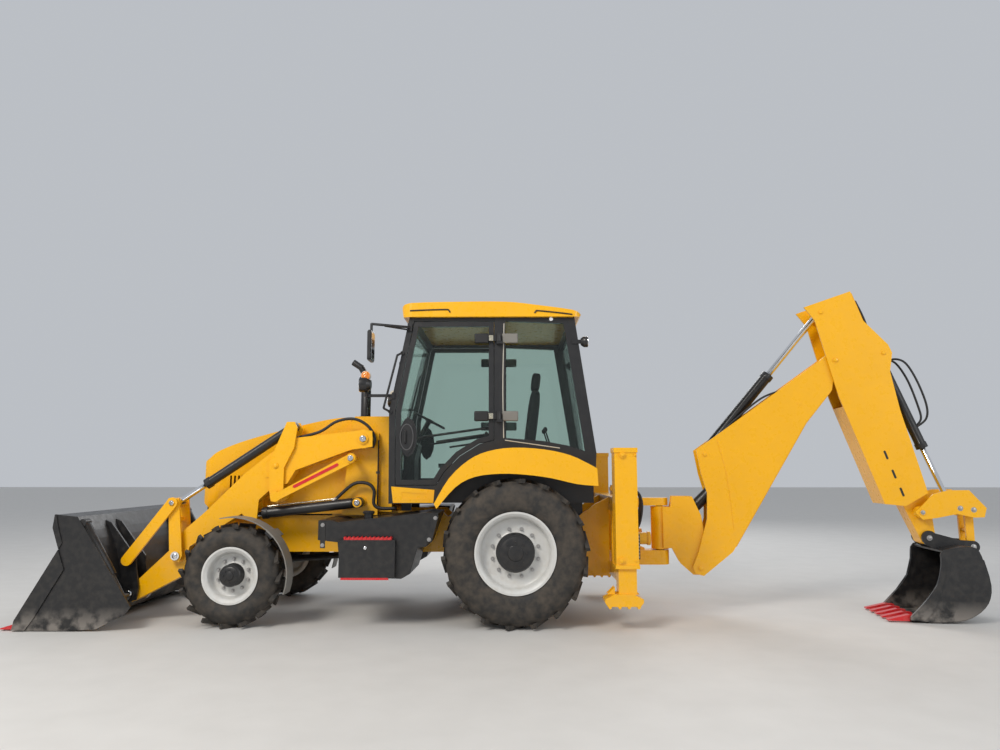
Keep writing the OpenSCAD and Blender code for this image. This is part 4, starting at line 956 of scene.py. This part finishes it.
HOE_PINS = (
    # name, body, point (r, z), |y| of the face it sits on, radius, height, look
    ("boom_foot", "boom", (405, 458), BOOM_HALF, 34, 16, YELLOW),
    ("boom_cylinder", "boom", (1474, 2173), BOOM_HALF, 30, 4, YELLOW),
    ("dipper_cylinder_base", "boom", (484, 1641), BOOM_HALF, 26, 14, YELLOW),
    ("boom_tip", "dipper", (1850, 2627), DIPPER_HALF, 34, 16, YELLOW),
    ("dipper_cylinder", "dipper", (1730, 3140), DIPPER_HALF, 26, 14, YELLOW),
    ("bucket_cylinder_base", "dipper", (2330, 2690), DIPPER_HALF, 26, 14, YELLOW),
    ("crank_pivot", "dipper", (2590, 1053), 214, 22, 9, STEEL),
    ("bucket_cylinder_pin", "hoe_crank", (2945, 1096), 206, 26, 10, STEEL),
    ("link_top", "hoe_crank", (3070, 1082), 206, 26, 10, STEEL),
    ("link_end", "hoe_bucket", (3071, 714), 140, 26, 10, STEEL),
    ("bucket_hinge_rear", "hoe_bucket", (2664, 795), 140, 26, 10, STEEL),
)
for name, body, (r, z), face, radius, h, look in HOE_PINS:
    heads = Piece()
    for side, s, out in SIDES:
        heads.bolt(hoe(r, s * (face - SUNK), z), hoe(0, s, 0) - hoe(0, 0, 0), radius * 0.72, h)
    heads.end(f"pins_{name}", body, look, "yellow_paint" if look is YELLOW else "pin_steel", bevel=1)

FRAME_BOLTS = (
    # x, z, |y| of the face it sits on, radius, height
    (1007, 1617, 1146, 17, 14),
    (981, 640, 1146, 17, 14),
    (1130, 1617, 1138, 10, 9),
    (1120, 640, 1130, 10, 9),
)
bolts = Piece()
for side, s, out in SIDES:
    for x, z, face, radius, h in FRAME_BOLTS:
        bolts.bolt(at(x, s * (face - SUNK), z), out, radius, h)
bolts.end("frame_bolts", "chassis", YELLOW, "yellow_paint")


# Camera, floor and light. Sizes and places are in metres from here on, but for those in at().

scene = bpy.context.scene
FLOOR_HALF = 60

camera_data = bpy.data.cameras.new("camera")
camera_data.lens = 26.64
camera_data.sensor_width = 36
camera_data.clip_end = 200
camera = bpy.data.objects.new("camera", camera_data)
camera.location = at(-50, -8170, 1467)
camera.rotation_euler = (math.radians(97.39), 0, math.radians(0.77))
scene.collection.objects.link(camera)
scene.camera = camera

floor_mesh = bpy.data.meshes.new("floor")
floor_corners = [(x * FLOOR_HALF, y * FLOOR_HALF, 0) for x, y in ((-1, -1), (1, -1), (1, 1), (-1, 1))]
floor_mesh.from_pydata(floor_corners, [], [(0, 1, 2, 3)])
floor = bpy.data.objects.new("floor", floor_mesh)
floor_look = material("floor", (0.62, 0.61, 0.59), rough=0.75)
set_colour(floor_look, blend(floor_look, noise(floor_look, 3, 8), (0.58, 0.57, 0.55), (0.66, 0.65, 0.63)))
floor_mesh.materials.append(floor_look)
scene.collection.objects.link(floor)

world = bpy.data.worlds.new("world")
world.use_nodes = True
set_sockets(world.node_tree.nodes["Background"], {"Color": (0.86, 0.9, 0.96, 1), "Strength": 0.58})
scene.world = world
scene.view_settings.view_transform = "Standard"


def light(name, place, target, size, power, colour=(1, 1, 1)):
    data = bpy.data.lights.new(name, "AREA")
    data.size = size
    data.energy = power
    data.color = colour
    lamp = bpy.data.objects.new(name, data)
    lamp.location = place
    lamp.rotation_euler = (Vector(target) - Vector(place)).to_track_quat("-Z", "Y").to_euler()
    scene.collection.objects.link(lamp)


light("key", (-6, -9, 9), (0, 0, 1), 4, 1000, (1, 0.95, 0.88))
light("fill", (9, -8, 5), (0, 0, 1), 6, 260)
light("rim", (2, 10, 9), (0, 0, 1.5), 6, 500)
